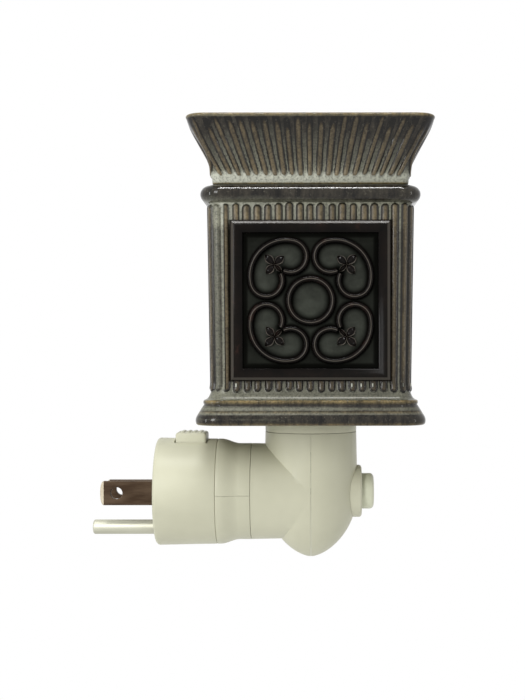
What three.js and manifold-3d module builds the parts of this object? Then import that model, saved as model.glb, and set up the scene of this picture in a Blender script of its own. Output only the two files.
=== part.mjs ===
// Plug-in wax warmer: a square reeded ceramic shade with a lift-off wax dish and two scroll plaques,
// on a plastic lamp base with an elbow, a push switch and a swivelling three-prong plug.
// Millimetres, Z up. The origin is the middle of the plug face that meets the wall, and X leads
// away from the wall along the plug's axis.

import * as THREE from 'three';
import { mergeVertices } from 'three/addons/utils/BufferGeometryUtils.js';
import Module from 'manifold-3d';

const wasm = await Module();
wasm.setup();

// Clearances
const FIT = 0.3; // between pieces that are fixed together
const RUN = 0.4; // between pieces that turn or slide on each other

// Plug head
const HEAD_RADIUS = 17.75;
const HEAD_DRAFT = 0.35;
const HEAD_LENGTH = 19.9;
const HEAD_WALL = 2.2;
const HEAD_FACE = 3.2;
const HEAD_EDGE = 1.2;

// Blades and earth pin
const BLADE_SPACING = 12.7;
const BLADE_THICKNESS = 1.5;
const BLADE_REACH = 18.2;
const BLADE_STUB = 3;
const BLADE_TIP_ROUND = 2;
const BLADE_BEVEL = 0.4;
const BLADE_HOLE_RADIUS = 1.95;
const BLADE_HOLE_INSET = 5.4;
const NEUTRAL_WIDTH = 7.9;
const HOT_WIDTH = 6.35;
const PIN_RADIUS = 2.4;
const PIN_REACH = 21.4;
const PIN_DROP = 11.9;
const PIN_TIP_ROUND = 0.8;
const BLOCK_DEPTH = 5.5;
const BLOCK_RIM = 1.6;

// Rotation lock button
const LOCK_LENGTH = 10.1;
const LOCK_WIDTH = 11.7;
const LOCK_RISE = 2.3;
const LOCK_ROUND = 0.9;
const LOCK_LIP = 0.9;
const LOCK_LIP_HEIGHT = 1.3;
const LOCK_RIDGES = 4;
const LOCK_RIDGE_RADIUS = 0.45;
const LOCK_SPRING_RADIUS = 2.3;
const SHELF_THICKNESS = 1.5;

// Swivel hub and its contacts
const HUB_DISC = 3;
const SPINDLE_RADIUS = 10;
const FLANGE_RADIUS = 12;
const FLANGE_LENGTH = 2;
const CONTACT_PIN_RADIUS = 0.8;
const CONTACT_WIDTH = 2.2;
const CONTACT_THICKNESS = 0.6;
const BRUSH_THICKNESS = 0.5;
const BRUSH_WIDTH = 3;
const BRUSH_GAP = 1.6;
const BRUSH_BLOCK_DEPTH = 3.2;
const BRUSH_TAIL = 3;

// Swivel collar
const COLLAR_LENGTH = 10.8;
const COLLAR_LIP = 3.6;
const COLLAR_TAPER_INSET = 1;
const COLLAR_TAPER_LENGTH = 6.4;
const SPIGOT_LENGTH = 4.5;

// Elbow housing
const BARREL_RADIUS = 15.9;
const BARREL_REACH = 19.55;
const ELBOW_RADIUS = 15.5;
const NECK_RADIUS = 15.1;
const NECK_HEIGHT = 19.8;
const DOME_DEPTH = 21.8;
const DOME_TAPER = 1.24; // 1 is a full oval, more is slimmer
const HOUSING_WALL = 2.2;

// Switch
const BOSS_RADIUS = 8.65;
const BOSS_RISE = 1.3;
const BOSS_ROUND = 0.8;
const BOSS_LIP = 2.6;
const BOSS_DEPTH = 7.8;
const BOSS_WALL = 1.35;
const STRIP_WIDTH = 14.6;
const BUTTON_RADIUS = 5.9;
const BUTTON_RISE = 4;
const BUTTON_ROUND = 1.35;
const BUTTON_FLANGE = 1.4;
const BUTTON_STEM_RADIUS = 2;
const BUTTON_STEM_GRIP = 0.7;
const BUTTON_TRAVEL = 2;
const SWITCH_LENGTH = 7;
const SWITCH_WIDTH = 11;
const SWITCH_HEIGHT = 10;
const SPRING_WIRE = 0.35;
const SPRING_TURNS = 2.5;

// Neck collar and what clamps the ceramic
const RING_HEIGHT = 3.2;
const NECK_SPIGOT = 6;
const TUBE_RADIUS = 11.6;
const TUBE_CREST = 1.5;
const WASHER_RADIUS = 18;
const WASHER_THICKNESS = 1.2;
const NUT_RADIUS = 17.5;
const NUT_HEIGHT = 5;
const NUT_SIDES = 8;

// Lamp holder and bulb
const BULB_CAP_RADIUS = 5.95;
const BULB_CAP_LENGTH = 14.5;
const BULB_CAP_WALL = 0.7;
const BULB_TIP_RADIUS = 2.2;
const BULB_TIP_HEIGHT = 1.2;
const BULB_GLASS_RADIUS = 11;
const BULB_GLASS_LENGTH = 50;
const BULB_GLASS_WALL = 0.9;
const BULB_NECK_DEPTH = 9;
const STEM_LENGTH = 14;
const FILAMENT_RADIUS = 0.3;
const FILAMENT_SPAN = 7;
const FILAMENT_RISE = 12;
const SOCKET_SHELL_WALL = 0.8;
const SOCKET_WALL = 1.5;
const SOCKET_FLOOR = 3;
const SOCKET_DEPTH = 19;
const SOCKET_FLANGE = 1.6;
const CONTACT_DISC = 1;
const CONTACT_DOME = 0.8;
const CONTACT_TAIL = 6;
const CONTACT_TAIL_RADIUS = 1.1;
const LEAD_RADIUS = 0.9;

// Ceramic body, from its underside up
const BASE_WIDTH = 71.6;
const BASE_ROLL_HEIGHT = 3.9;
const BASE_BAND_HEIGHT = 2.5;
const BASE_BEAD_HEIGHT = 1.4;
const BASE_BEAD_INSET = 2.3;
const BASE_COVE_HEIGHT = 5.8;
const BODY_WIDTH_LOW = 61.6;
const BODY_WIDTH_HIGH = 63.4;
const BODY_HEIGHT = 55.4;
const SHOULDER_WIDTH = 68.7;
const SHOULDER_HEIGHT = 5.8;
const SHOULDER_TOP_WIDTH = 62;
const CORNER_RADIUS = 5;
const CORNER_SPREAD = 0.5; // share of an overhang that is added to its corner radius
const BODY_WALL = 4.5;
const BODY_FLOOR = 5;

// Reeds on the body
const REED_PITCH = 3.27;
const REEDS_OVER_PLAQUE = 15;
const REED_RADIUS = 1.05;
const REED_SINK = 0.3;

// Wax dish, from its underside up
const DISH_NECK_WIDTH = 61.4;
const DISH_RIM_WIDTH = 76.8;
const DISH_HEIGHT = 20.6;
const DISH_NECK_HEIGHT = 2.4;
const DISH_LIP_HEIGHT = 1.4;
const DISH_STEP = 0.25;
const DISH_WALL = 3.4;
const DISH_FLOOR = 5.5;
const DISH_NECK_CORNER = 2.4;
const DISH_RIM_CORNER = 5.5;
const DISH_SPIGOT = 4;
const DISH_SPIGOT_WALL = 3;
const CROWN_REEDS = 21;
const CROWN_REED_RELIEF = 0.8;
const CROWN_REED_FADE = 0.75;

// Scroll plaques
const PLAQUE_SIZE = 50;
const PLAQUE_FOOT = 13.6;
const PLAQUE_RECESS = 1;
const PANEL_THICKNESS = 1.6;
const FRAME_WIDTH = 4.1;
const FRAME_HEIGHT = 3.4;
const FRAME_LEDGE = 0.8;
const SCROLL_RADIUS = 1.05;
const SCROLL_RISE = 1.6;
const RING_RADIUS = 6.8;
const HEART_OFFSET = 10.72;
const HEART_RADIUS = 11.08;
const LOBE_RADIUS = 4.9;
const LOBE_START = THREE.MathUtils.degToRad(58.6);
const LOBE_SWEEP = THREE.MathUtils.degToRad(192);
const TREFOIL_OFFSET = 15.8;
const LEAF_LENGTH = 3.6;
const LEAF_WIDTH = 1.8;
const LEAF_SPREAD = THREE.MathUtils.degToRad(108);

// Roundness of the faceted pieces
const SEGMENTS = 24;
const INNER_SEGMENTS = 12;
const CORNER_STEPS = 3;

const plastic = finish(0xcfceb6, 0.42, 0);
const buttonPlastic = finish(0xb9bca6, 0.4, 0);
const darkPlastic = finish(0x5b564c, 0.6, 0);
const nickel = finish(0xb7b2a8, 0.25, 1);
const brass = finish(0xb8964f, 0.35, 1);
const spring = finish(0x9a9a9a, 0.35, 1);
const rubber = finish(0x2b2b2b, 0.8, 0);
const phenolic = finish(0xe6e2d6, 0.5, 0);
const glass = finish(0xeef2f0, 0.05, 0);
const insulation = finish(0x3a2f28, 0.6, 0);
const glaze = finish(0x5f5c52, 0.2, 0);
const bronze = finish(0x221d1a, 0.4, 0.6);

function finish(color, roughness, metalness) {
  return new THREE.MeshStandardMaterial({ color, roughness, metalness });
}

// A closed solid from a three.js geometry, with its faces pointing out
function solidOf(geometry) {
  const bare = geometry.clone();
  bare.deleteAttribute('normal');
  bare.deleteAttribute('uv');
  const merged = mergeVertices(bare, 1e-4);
  const index = merged.index.array;
  const position = merged.attributes.position;
  const corners = [new THREE.Vector3(), new THREE.Vector3(), new THREE.Vector3()];
  const triangles = [];
  let volume = 0;
  for (let i = 0; i < index.length; i += 3) {
    const [a, b, c] = [index[i], index[i + 1], index[i + 2]];
    if (a === b || b === c || c === a) continue;
    corners.forEach((corner, k) => corner.fromBufferAttribute(position, index[i + k]));
    volume += corners[0].dot(corners[1].clone().cross(corners[2]));
    triangles.push(a, b, c);
  }
  const triVerts = new Uint32Array(volume < 0 ? triangles.reverse() : triangles);
  const vertProperties = new Float32Array(position.array);
  return new wasm.Manifold(new wasm.Mesh({ numProp: 3, vertProperties, triVerts }));
}

function geometryOf(solid) {
  const mesh = solid.getMesh();
  const geometry = new THREE.BufferGeometry();
  geometry.setAttribute('position', new THREE.BufferAttribute(mesh.vertProperties, 3));
  geometry.setIndex(new THREE.BufferAttribute(mesh.triVerts, 1));
  geometry.computeVertexNormals();
  return geometry;
}

function piece(parent, name, solid, material) {
  const mesh = new THREE.Mesh(geometryOf(solid), material);
  mesh.name = name;
  parent.add(mesh);
  return mesh;
}

// A profile of [radius, height] pairs turned about Z
function revolve(profile, segments = SEGMENTS) {
  const points = profile.map(([radius, height]) => new THREE.Vector2(radius, height));
  const geometry = new THREE.LatheGeometry(points, segments);
  geometry.rotateX(Math.PI / 2);
  return solidOf(geometry);
}

// The same profile turned about X, with the heights along X
function revolveAlongX(profile, segments = SEGMENTS) {
  const points = profile.map(([radius, height]) => new THREE.Vector2(radius, height));
  const geometry = new THREE.LatheGeometry(points, segments);
  geometry.rotateZ(-Math.PI / 2);
  return solidOf(geometry);
}

// A ring or tube profile closed on itself: [inner, outer] radii between two heights
function tubeProfile(inner, outer, low, high) {
  return [[inner, low], [outer, low], [outer, high], [inner, high], [inner, low]];
}

function rodProfile(radius, low, high) {
  return [[0, low], [radius, low], [radius, high], [0, high]];
}

// A box between two corners
function block(low, high) {
  const size = high.map((value, k) => value - low[k]);
  const middle = high.map((value, k) => (value + low[k]) / 2);
  const geometry = new THREE.BoxGeometry(...size);
  geometry.translate(...middle);
  return solidOf(geometry);
}

// A quarter arc of points from one angle to another, in [radius, height] pairs
function arc(centre, radii, from, to, steps) {
  return Array.from({ length: steps + 1 }, (_, k) => {
    const angle = from + (to - from) * (k / steps);
    return [centre[0] + radii[0] * Math.cos(angle), centre[1] + radii[1] * Math.sin(angle)];
  });
}

// A tube of round section along a curve
function rod(curve, radius, steps, sides) {
  const section = new THREE.Shape();
  for (let k = 0; k < sides; k += 1) {
    const angle = (2 * Math.PI * k) / sides;
    const point = [radius * Math.cos(angle), radius * Math.sin(angle)];
    if (k === 0) section.moveTo(...point);
    else section.lineTo(...point);
  }
  section.closePath();
  return solidOf(new THREE.ExtrudeGeometry(section, { extrudePath: curve, steps }));
}

// A coil spring about Z between two heights
class Helix extends THREE.Curve {
  constructor(radius, low, high, turns) {
    super();
    Object.assign(this, { radius, low, high, turns });
  }

  getPoint(t, target = new THREE.Vector3()) {
    const angle = 2 * Math.PI * this.turns * t;
    const height = this.low + (this.high - this.low) * t;
    return target.set(this.radius * Math.cos(angle), this.radius * Math.sin(angle), height);
  }
}

function coilSpring(radius, low, high) {
  const curve = new Helix(radius, low + SPRING_WIRE, high - SPRING_WIRE, SPRING_TURNS);
  return rod(curve, SPRING_WIRE, Math.round(SPRING_TURNS * 7), 4);
}

// The corner points of a square with rounded corners, at one height
function roundedSquare(half, radius, height) {
  const points = [];
  for (let corner = 0; corner < 4; corner += 1) {
    const turn = (corner * Math.PI) / 2;
    const middle = new THREE.Vector2(half - radius, half - radius).rotateAround(new THREE.Vector2(), turn);
    for (let step = 0; step <= CORNER_STEPS; step += 1) {
      const angle = turn + (Math.PI / 2) * (step / CORNER_STEPS);
      const x = middle.x + radius * Math.cos(angle);
      const y = middle.y + radius * Math.sin(angle);
      points.push(new THREE.Vector3(x, y, height));
    }
  }
  return points;
}

// A closed skin over a stack of level rings about Z that have equal numbers of points
function loft(rings) {
  const count = rings[0].length;
  const positions = rings.flat().flatMap((point) => point.toArray());
  const index = [];
  for (let ring = 0; ring + 1 < rings.length; ring += 1) {
    for (let k = 0; k < count; k += 1) {
      const a = ring * count + k;
      const b = ring * count + ((k + 1) % count);
      index.push(a, b, b + count, a, b + count, a + count);
    }
  }
  const last = (rings.length - 1) * count;
  const middle = rings.length * count;
  positions.push(0, 0, rings[0][0].z, 0, 0, rings.at(-1)[0].z);
  for (let k = 0; k < count; k += 1) {
    const next = (k + 1) % count;
    index.push(middle, next, k);
    index.push(middle + 1, last + k, last + next);
  }
  const geometry = new THREE.BufferGeometry();
  geometry.setAttribute('position', new THREE.Float32BufferAttribute(positions, 3));
  geometry.setIndex(index);
  return solidOf(geometry);
}

function joined(solids) {
  return wasm.Manifold.union(solids);
}

// Places along the plug's axis
const headBore = HEAD_RADIUS - HEAD_DRAFT - HEAD_WALL;
const headSeamRadius = HEAD_RADIUS - HEAD_DRAFT;
const blockStart = HEAD_FACE + FIT;
const blockEnd = blockStart + BLOCK_DEPTH;
const bladeEnd = blockEnd + BLADE_STUB;
const hubStart = HEAD_LENGTH - HUB_DISC;
const lockEnd = hubStart - RUN;
const lockStart = lockEnd - LOCK_LENGTH;
const lockMiddle = (lockStart + lockEnd) / 2;
const collarStart = HEAD_LENGTH + RUN;
const collarEnd = collarStart + COLLAR_LENGTH;
const lipEnd = collarStart + COLLAR_LIP;
const flangeStart = lipEnd + RUN;
const flangeEnd = flangeStart + FLANGE_LENGTH;
const contactStart = flangeEnd + FIT;
const contactEnd = contactStart + CONTACT_THICKNESS;
const brushStart = contactEnd + FIT;
const brushBlockStart = brushStart + BRUSH_THICKNESS + BRUSH_GAP;
const brushBlockEnd = brushBlockStart + BRUSH_BLOCK_DEPTH;
const brushEnd = brushBlockEnd + BRUSH_TAIL;
const neckX = collarEnd + FIT + BARREL_REACH;

// Places across the plug
const bladeOuter = BLADE_SPACING / 2 + BLADE_THICKNESS / 2;
const bladeInner = BLADE_SPACING / 2 - BLADE_THICKNESS / 2;
const hotPinY = bladeInner - FIT - CONTACT_PIN_RADIUS;
const neutralPinY = -(bladeOuter + FIT + CONTACT_PIN_RADIUS);
const blockTop = NEUTRAL_WIDTH / 2 + BLOCK_RIM;
const shelfBottom = blockTop + RUN;
const shelfTop = shelfBottom + SHELF_THICKNESS;
const lockLipHalf = LOCK_WIDTH / 2 + LOCK_LIP;
const lockLipTop = Math.sqrt(headBore ** 2 - lockLipHalf ** 2) - FIT;
const lockLipBottom = lockLipTop - LOCK_LIP_HEIGHT;
const collarChamber = FLANGE_RADIUS + RUN;
const barrelBore = ELBOW_RADIUS - HOUSING_WALL;

// Heights up the neck
const ringStart = NECK_HEIGHT + FIT;
const ringEnd = ringStart + RING_HEIGHT;
const ceramicFoot = ringEnd + FIT;
const floorTop = ceramicFoot + BODY_FLOOR;
const washerStart = floorTop + FIT;
const nutStart = washerStart + WASHER_THICKNESS + FIT;
const tubeEnd = nutStart + NUT_HEIGHT + TUBE_CREST;
const socketTop = tubeEnd + FIT + SOCKET_FLANGE;
const socketFloor = socketTop - SOCKET_DEPTH;
const socketShellInner = BULB_CAP_RADIUS + RUN;
const socketShellOuter = socketShellInner + SOCKET_SHELL_WALL;
const socketBore = socketShellOuter + FIT;
const socketRadius = socketBore + SOCKET_WALL;
const contactTop = socketFloor + FIT + CONTACT_DISC;
const bulbTipStart = contactTop + CONTACT_DOME + FIT;
const bulbCapStart = bulbTipStart + BULB_TIP_HEIGHT + FIT;
const bulbCapEnd = bulbCapStart + BULB_CAP_LENGTH;
const bulbNeckStart = bulbCapEnd - BULB_NECK_DEPTH;
const bulbNeckRadius = BULB_CAP_RADIUS - BULB_CAP_WALL - FIT;
const bulbNeckBore = bulbNeckRadius - BULB_GLASS_WALL;

// Heights up the ceramic body, from its underside
const bandStart = BASE_ROLL_HEIGHT;
const beadStart = bandStart + BASE_BAND_HEIGHT;
const coveStart = beadStart + BASE_BEAD_HEIGHT;
const bodyStart = coveStart + BASE_COVE_HEIGHT;
const shoulderStart = bodyStart + BODY_HEIGHT;
const shoulderEnd = shoulderStart + SHOULDER_HEIGHT;
const dishFoot = shoulderEnd + FIT;

function plugShell() {
  const edge = arc([HEAD_RADIUS - HEAD_EDGE, HEAD_EDGE], [HEAD_EDGE, HEAD_EDGE], -Math.PI / 2, 0, 3);
  const cup = revolveAlongX([
    [0, 0],
    ...edge,
    [headSeamRadius, HEAD_LENGTH],
    [headBore, HEAD_LENGTH],
    [headBore, HEAD_FACE],
    [0, HEAD_FACE],
  ]);
  const slots = [[-1, NEUTRAL_WIDTH], [1, HOT_WIDTH]].map(([side, width]) => {
    const y = (side * BLADE_SPACING) / 2;
    const half = BLADE_THICKNESS / 2 + FIT;
    return block([-1, y - half, -width / 2 - FIT], [HEAD_FACE + 1, y + half, width / 2 + FIT]);
  });
  const pinHole = revolveAlongX(rodProfile(PIN_RADIUS + FIT, -1, HEAD_FACE + 1), INNER_SEGMENTS);
  const windowHalf = LOCK_WIDTH / 2 + RUN;
  const lockWindow = block([lockStart - RUN, -windowHalf, 0], [lockEnd + RUN, windowHalf, 2 * HEAD_RADIUS]);
  return cup.subtract(joined([...slots, pinHole.translate([0, 0, -PIN_DROP]), lockWindow]));
}

// One blade, lying in the XZ plane with its tip at -X
function blade(width) {
  const half = width / 2;
  const outline = new THREE.Shape();
  outline.moveTo(bladeEnd, -half);
  outline.lineTo(bladeEnd, half);
  outline.lineTo(-BLADE_REACH + BLADE_TIP_ROUND, half);
  outline.quadraticCurveTo(-BLADE_REACH, half, -BLADE_REACH, half - BLADE_TIP_ROUND);
  outline.lineTo(-BLADE_REACH, BLADE_TIP_ROUND - half);
  outline.quadraticCurveTo(-BLADE_REACH, -half, -BLADE_REACH + BLADE_TIP_ROUND, -half);
  outline.closePath();
  const hole = new THREE.Path();
  hole.absarc(-BLADE_REACH + BLADE_HOLE_INSET, 0, BLADE_HOLE_RADIUS, 0, 2 * Math.PI, true);
  outline.holes.push(hole);
  const geometry = new THREE.ExtrudeGeometry(outline, {
    depth: BLADE_THICKNESS - 2 * BLADE_BEVEL,
    bevelThickness: BLADE_BEVEL,
    bevelSize: BLADE_BEVEL,
    bevelOffset: -BLADE_BEVEL,
    bevelSegments: 1,
    curveSegments: 6,
  });
  geometry.translate(0, 0, BLADE_BEVEL - BLADE_THICKNESS / 2);
  geometry.rotateX(Math.PI / 2);
  return solidOf(geometry);
}

function earthPin() {
  const tip = arc([PIN_RADIUS - PIN_TIP_ROUND, PIN_TIP_ROUND - PIN_REACH], [PIN_TIP_ROUND, PIN_TIP_ROUND],
    -Math.PI / 2, 0, 3);
  const profile = [[0, -PIN_REACH], ...tip, [PIN_RADIUS, blockEnd], [0, blockEnd]];
  return revolveAlongX(profile, INNER_SEGMENTS);
}

// The insulating block that grips the blades behind the plug face, with a saddle over the earth pin
function bladeBlock() {
  const half = bladeOuter + FIT + BLOCK_RIM;
  const narrow = PIN_RADIUS + FIT + BLOCK_RIM;
  const outline = new THREE.Shape();
  outline.moveTo(-half, blockTop);
  outline.lineTo(-half, -NEUTRAL_WIDTH / 2 - BLOCK_RIM);
  outline.lineTo(-narrow, -PIN_DROP);
  outline.lineTo(narrow, -PIN_DROP);
  outline.lineTo(half, -NEUTRAL_WIDTH / 2 - BLOCK_RIM);
  outline.lineTo(half, blockTop);
  outline.closePath();
  const geometry = new THREE.ExtrudeGeometry(outline, { depth: BLOCK_DEPTH, bevelEnabled: false });
  geometry.rotateX(Math.PI / 2);
  geometry.rotateZ(Math.PI / 2);
  geometry.translate(blockStart, 0, 0);
  const grips = [[-1, NEUTRAL_WIDTH], [1, HOT_WIDTH]].map(([side, width]) => {
    const y = (side * BLADE_SPACING) / 2;
    const grip = BLADE_THICKNESS / 2 + FIT;
    return block([0, y - grip, -width / 2 - FIT], [blockEnd + 1, y + grip, width / 2 + FIT]);
  });
  const pinHole = revolveAlongX(rodProfile(PIN_RADIUS + FIT, 0, blockEnd + 1), INNER_SEGMENTS);
  return solidOf(geometry).subtract(joined([...grips, pinHole.translate([0, 0, -PIN_DROP])]));
}

// The hub closes the back of the head and turns in the collar: disc, spindle, flange and spring shelf
function swivelHub() {
  const discRadius = headBore - FIT;
  const turned = revolveAlongX([
    [0, hubStart],
    [discRadius, hubStart],
    [discRadius, HEAD_LENGTH],
    [SPINDLE_RADIUS, HEAD_LENGTH],
    [SPINDLE_RADIUS, flangeStart],
    [FLANGE_RADIUS, flangeStart],
    [FLANGE_RADIUS, flangeEnd],
    [0, flangeEnd],
  ], SEGMENTS);
  const shelfHalf = LOCK_SPRING_RADIUS + 2 * SPRING_WIRE;
  const shelf = block(
    [lockMiddle - shelfHalf, -shelfHalf, shelfBottom],
    [hubStart + HUB_DISC / 2, shelfHalf, shelfTop],
  );
  const holes = [hotPinY, neutralPinY].map((y) => {
    const hole = revolveAlongX(rodProfile(CONTACT_PIN_RADIUS + FIT, hubStart - 1, flangeEnd + 1), 8);
    return hole.translate([0, y, 0]);
  });
  return turned.add(shelf).subtract(joined(holes));
}

// A contact ring on the hub's flange with the pin that leads forward to its blade
function contactRing(pinY) {
  const middle = Math.abs(pinY);
  const ring = revolveAlongX(
    tubeProfile(middle - CONTACT_WIDTH / 2, middle + CONTACT_WIDTH / 2, contactStart, contactEnd),
    INNER_SEGMENTS,
  );
  const pin = revolveAlongX(rodProfile(CONTACT_PIN_RADIUS, blockEnd + FIT, contactEnd), 8);
  return ring.add(pin.translate([0, pinY, 0]));
}

// A bent spring strip that rests on its ring and runs back through the brush block
function brush(pinY) {
  const side = Math.sign(pinY);
  const inner = side * (Math.abs(pinY) - CONTACT_WIDTH / 2);
  const outer = side * (Math.abs(pinY) + CONTACT_WIDTH / 2);
  const legInner = outer - side * BRUSH_THICKNESS;
  const outline = new THREE.Shape();
  outline.moveTo(brushStart, inner);
  outline.lineTo(brushStart, outer);
  outline.lineTo(brushEnd, outer);
  outline.lineTo(brushEnd, legInner);
  outline.lineTo(brushStart + BRUSH_THICKNESS, legInner);
  outline.lineTo(brushStart + BRUSH_THICKNESS, inner);
  outline.closePath();
  const geometry = new THREE.ExtrudeGeometry(outline, { depth: BRUSH_WIDTH, bevelEnabled: false });
  geometry.translate(0, 0, -BRUSH_WIDTH / 2);
  return solidOf(geometry);
}

function brushBlock() {
  const disc = revolveAlongX(
    rodProfile(collarChamber - FIT, brushBlockStart, brushBlockEnd),
    INNER_SEGMENTS,
  );
  const slots = [hotPinY, neutralPinY].map((pinY) => {
    const side = Math.sign(pinY);
    const outer = side * (Math.abs(pinY) + CONTACT_WIDTH / 2);
    const inner = outer - side * BRUSH_THICKNESS;
    const low = Math.min(outer, inner) - FIT;
    const high = Math.max(outer, inner) + FIT;
    const half = BRUSH_WIDTH / 2 + FIT;
    return block([brushBlockStart - 1, low, -half], [brushBlockEnd + 1, high, half]);
  });
  return disc.subtract(joined(slots));
}

// The push button that frees the swivel: ridged top, straight sides, and lips under the shell
function lockButton() {
  const top = HEAD_RADIUS + LOCK_RISE;
  const outline = new THREE.Shape();
  outline.moveTo(lockStart, lockLipBottom);
  outline.lineTo(lockStart, top - LOCK_ROUND);
  outline.quadraticCurveTo(lockStart, top, lockStart + LOCK_ROUND, top);
  const ridgePitch = (LOCK_LENGTH - 2 * LOCK_ROUND) / LOCK_RIDGES;
  for (let k = 0; k < LOCK_RIDGES; k += 1) {
    const middle = lockStart + LOCK_ROUND + ridgePitch * (k + 0.5);
    outline.lineTo(middle - LOCK_RIDGE_RADIUS, top);
    outline.lineTo(middle, top - LOCK_RIDGE_RADIUS);
    outline.lineTo(middle + LOCK_RIDGE_RADIUS, top);
  }
  outline.lineTo(lockEnd - LOCK_ROUND, top);
  outline.quadraticCurveTo(lockEnd, top, lockEnd, top - LOCK_ROUND);
  outline.lineTo(lockEnd, lockLipBottom);
  outline.closePath();
  const geometry = new THREE.ExtrudeGeometry(outline, {
    depth: LOCK_WIDTH, bevelEnabled: false, curveSegments: 3,
  });
  geometry.rotateX(Math.PI / 2);
  geometry.translate(0, LOCK_WIDTH / 2, 0);
  const lip = block([lockStart, -lockLipHalf, lockLipBottom], [lockEnd, lockLipHalf, lockLipTop]);
  return solidOf(geometry).add(lip);
}

// The collar as one turned ring, before it is split into halves
function collarRing() {
  const taperStart = collarStart + COLLAR_TAPER_INSET;
  const fall = headSeamRadius - BARREL_RADIUS;
  const taper = Array.from({ length: 5 }, (_, k) => {
    const t = k / 4;
    const drop = (fall * (1 - Math.cos(Math.PI * t))) / 2;
    return [headSeamRadius - drop, taperStart + COLLAR_TAPER_LENGTH * t];
  });
  const spigotRadius = barrelBore - FIT;
  const lipBore = SPINDLE_RADIUS + RUN;
  return revolveAlongX([
    [lipBore, collarStart],
    [headSeamRadius, collarStart],
    ...taper,
    [BARREL_RADIUS, collarEnd],
    [spigotRadius, collarEnd],
    [spigotRadius, collarEnd + SPIGOT_LENGTH],
    [collarChamber, collarEnd + SPIGOT_LENGTH],
    [collarChamber, lipEnd],
    [lipBore, lipEnd],
    [lipBore, collarStart],
  ]);
}

function collarHalf(side) {
  const reach = 2 * HEAD_RADIUS;
  const seam = FIT / 2;
  const end = collarEnd + SPIGOT_LENGTH + 1;
  const keep = side > 0
    ? block([collarStart - 1, -reach, seam], [end, reach, reach])
    : block([collarStart - 1, -reach, -reach], [end, reach, -seam]);
  return collarRing().intersect(keep);
}

// The elbow about the neck's axis: neck and dome turned as one, with the barrel joined from -X
function elbow(wall) {
  const radius = ELBOW_RADIUS - wall;
  const open = wall > 0 ? 1 : 0;
  const oval = arc([0, 0], [1, DOME_DEPTH - wall], -Math.PI / 2, 0, wall > 0 ? 4 : 7);
  const dome = oval.map(([share, height]) => [radius * share ** DOME_TAPER, height]);
  const neck = revolve([
    ...dome,
    [NECK_RADIUS - wall, NECK_HEIGHT],
    [NECK_RADIUS - wall, NECK_HEIGHT + open],
    [0, NECK_HEIGHT + open],
  ]);
  const barrel = revolveAlongX([
    [0, -BARREL_REACH - open],
    [BARREL_RADIUS - wall, -BARREL_REACH - open],
    [BARREL_RADIUS - wall, -BARREL_REACH],
    [ELBOW_RADIUS - wall, 0],
    [0, 0],
  ]);
  return neck.add(barrel);
}

const elbowShell = elbow(0).subtract(elbow(HOUSING_WALL));

function elbowHalf(side) {
  const reach = 3 * DOME_DEPTH;
  const seam = FIT / 2;
  const keep = side > 0
    ? block([seam, -reach, -reach], [reach, reach, reach])
    : block([-reach, -reach, -reach], [-seam, reach, reach]);
  return elbowShell.intersect(keep);
}

// The bezel's strip fills a slot in the neck above the boss
const bossFace = ELBOW_RADIUS + BOSS_RISE;
const bossBack = bossFace - BOSS_DEPTH;
const bossLipStart = bossFace - BOSS_LIP;
const buttonBore = BUTTON_RADIUS + RUN;

function stripBox(clearance) {
  const half = STRIP_WIDTH / 2 + clearance;
  return block([ELBOW_RADIUS / 3, -half, 0], [2 * ELBOW_RADIUS, half, 2 * NECK_HEIGHT]);
}

function frontHousing() {
  const bossHole = revolveAlongX(rodProfile(BOSS_RADIUS + FIT, ELBOW_RADIUS / 3, 2 * ELBOW_RADIUS));
  return elbowHalf(1).subtract(bossHole.add(stripBox(FIT)));
}

function switchBezel() {
  const rounded = arc([BOSS_RADIUS - BOSS_ROUND, bossFace - BOSS_ROUND], [BOSS_ROUND, BOSS_ROUND],
    0, Math.PI / 2, 3);
  const boss = revolveAlongX([[0, bossBack], [BOSS_RADIUS, bossBack], ...rounded, [0, bossFace]]);
  const bore = revolveAlongX([
    [0, bossBack - 1],
    [BOSS_RADIUS - BOSS_WALL, bossBack - 1],
    [BOSS_RADIUS - BOSS_WALL, bossLipStart],
    [buttonBore, bossLipStart],
    [buttonBore, bossFace + 1],
    [0, bossFace + 1],
  ], SEGMENTS);
  return elbowHalf(1).intersect(stripBox(0)).add(boss).subtract(bore);
}

// The switch module behind the bezel, and the button whose stem enters it
const switchFront = bossBack - FIT;
const buttonFlangeFront = bossLipStart - FIT;
const buttonFlangeBack = buttonFlangeFront - BUTTON_FLANGE;

function switchBody() {
  const body = block(
    [switchFront - SWITCH_LENGTH, -SWITCH_WIDTH / 2, -SWITCH_HEIGHT / 2],
    [switchFront, SWITCH_WIDTH / 2, SWITCH_HEIGHT / 2],
  );
  const depth = BUTTON_STEM_GRIP + BUTTON_TRAVEL + 2 * RUN;
  const hole = rodProfile(BUTTON_STEM_RADIUS + RUN, switchFront - depth, switchFront + 1);
  return body.subtract(revolveAlongX(hole, INNER_SEGMENTS));
}

function switchButton() {
  const face = bossFace + BUTTON_RISE;
  const rounded = arc([BUTTON_RADIUS - BUTTON_ROUND, face - BUTTON_ROUND], [BUTTON_ROUND, BUTTON_ROUND],
    0, Math.PI / 2, 4);
  const flange = BOSS_RADIUS - BOSS_WALL - RUN;
  const stemEnd = switchFront - BUTTON_STEM_GRIP;
  return revolveAlongX([
    [0, stemEnd],
    [BUTTON_STEM_RADIUS, stemEnd],
    [BUTTON_STEM_RADIUS, buttonFlangeBack],
    [flange, buttonFlangeBack],
    [flange, buttonFlangeFront],
    [BUTTON_RADIUS, buttonFlangeFront],
    ...rounded,
    [0, face],
  ], SEGMENTS);
}

function switchSpring() {
  const radius = BUTTON_STEM_RADIUS + 2 * SPRING_WIRE + RUN;
  return coilSpring(radius, switchFront + FIT, buttonFlangeBack - FIT);
}

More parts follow.
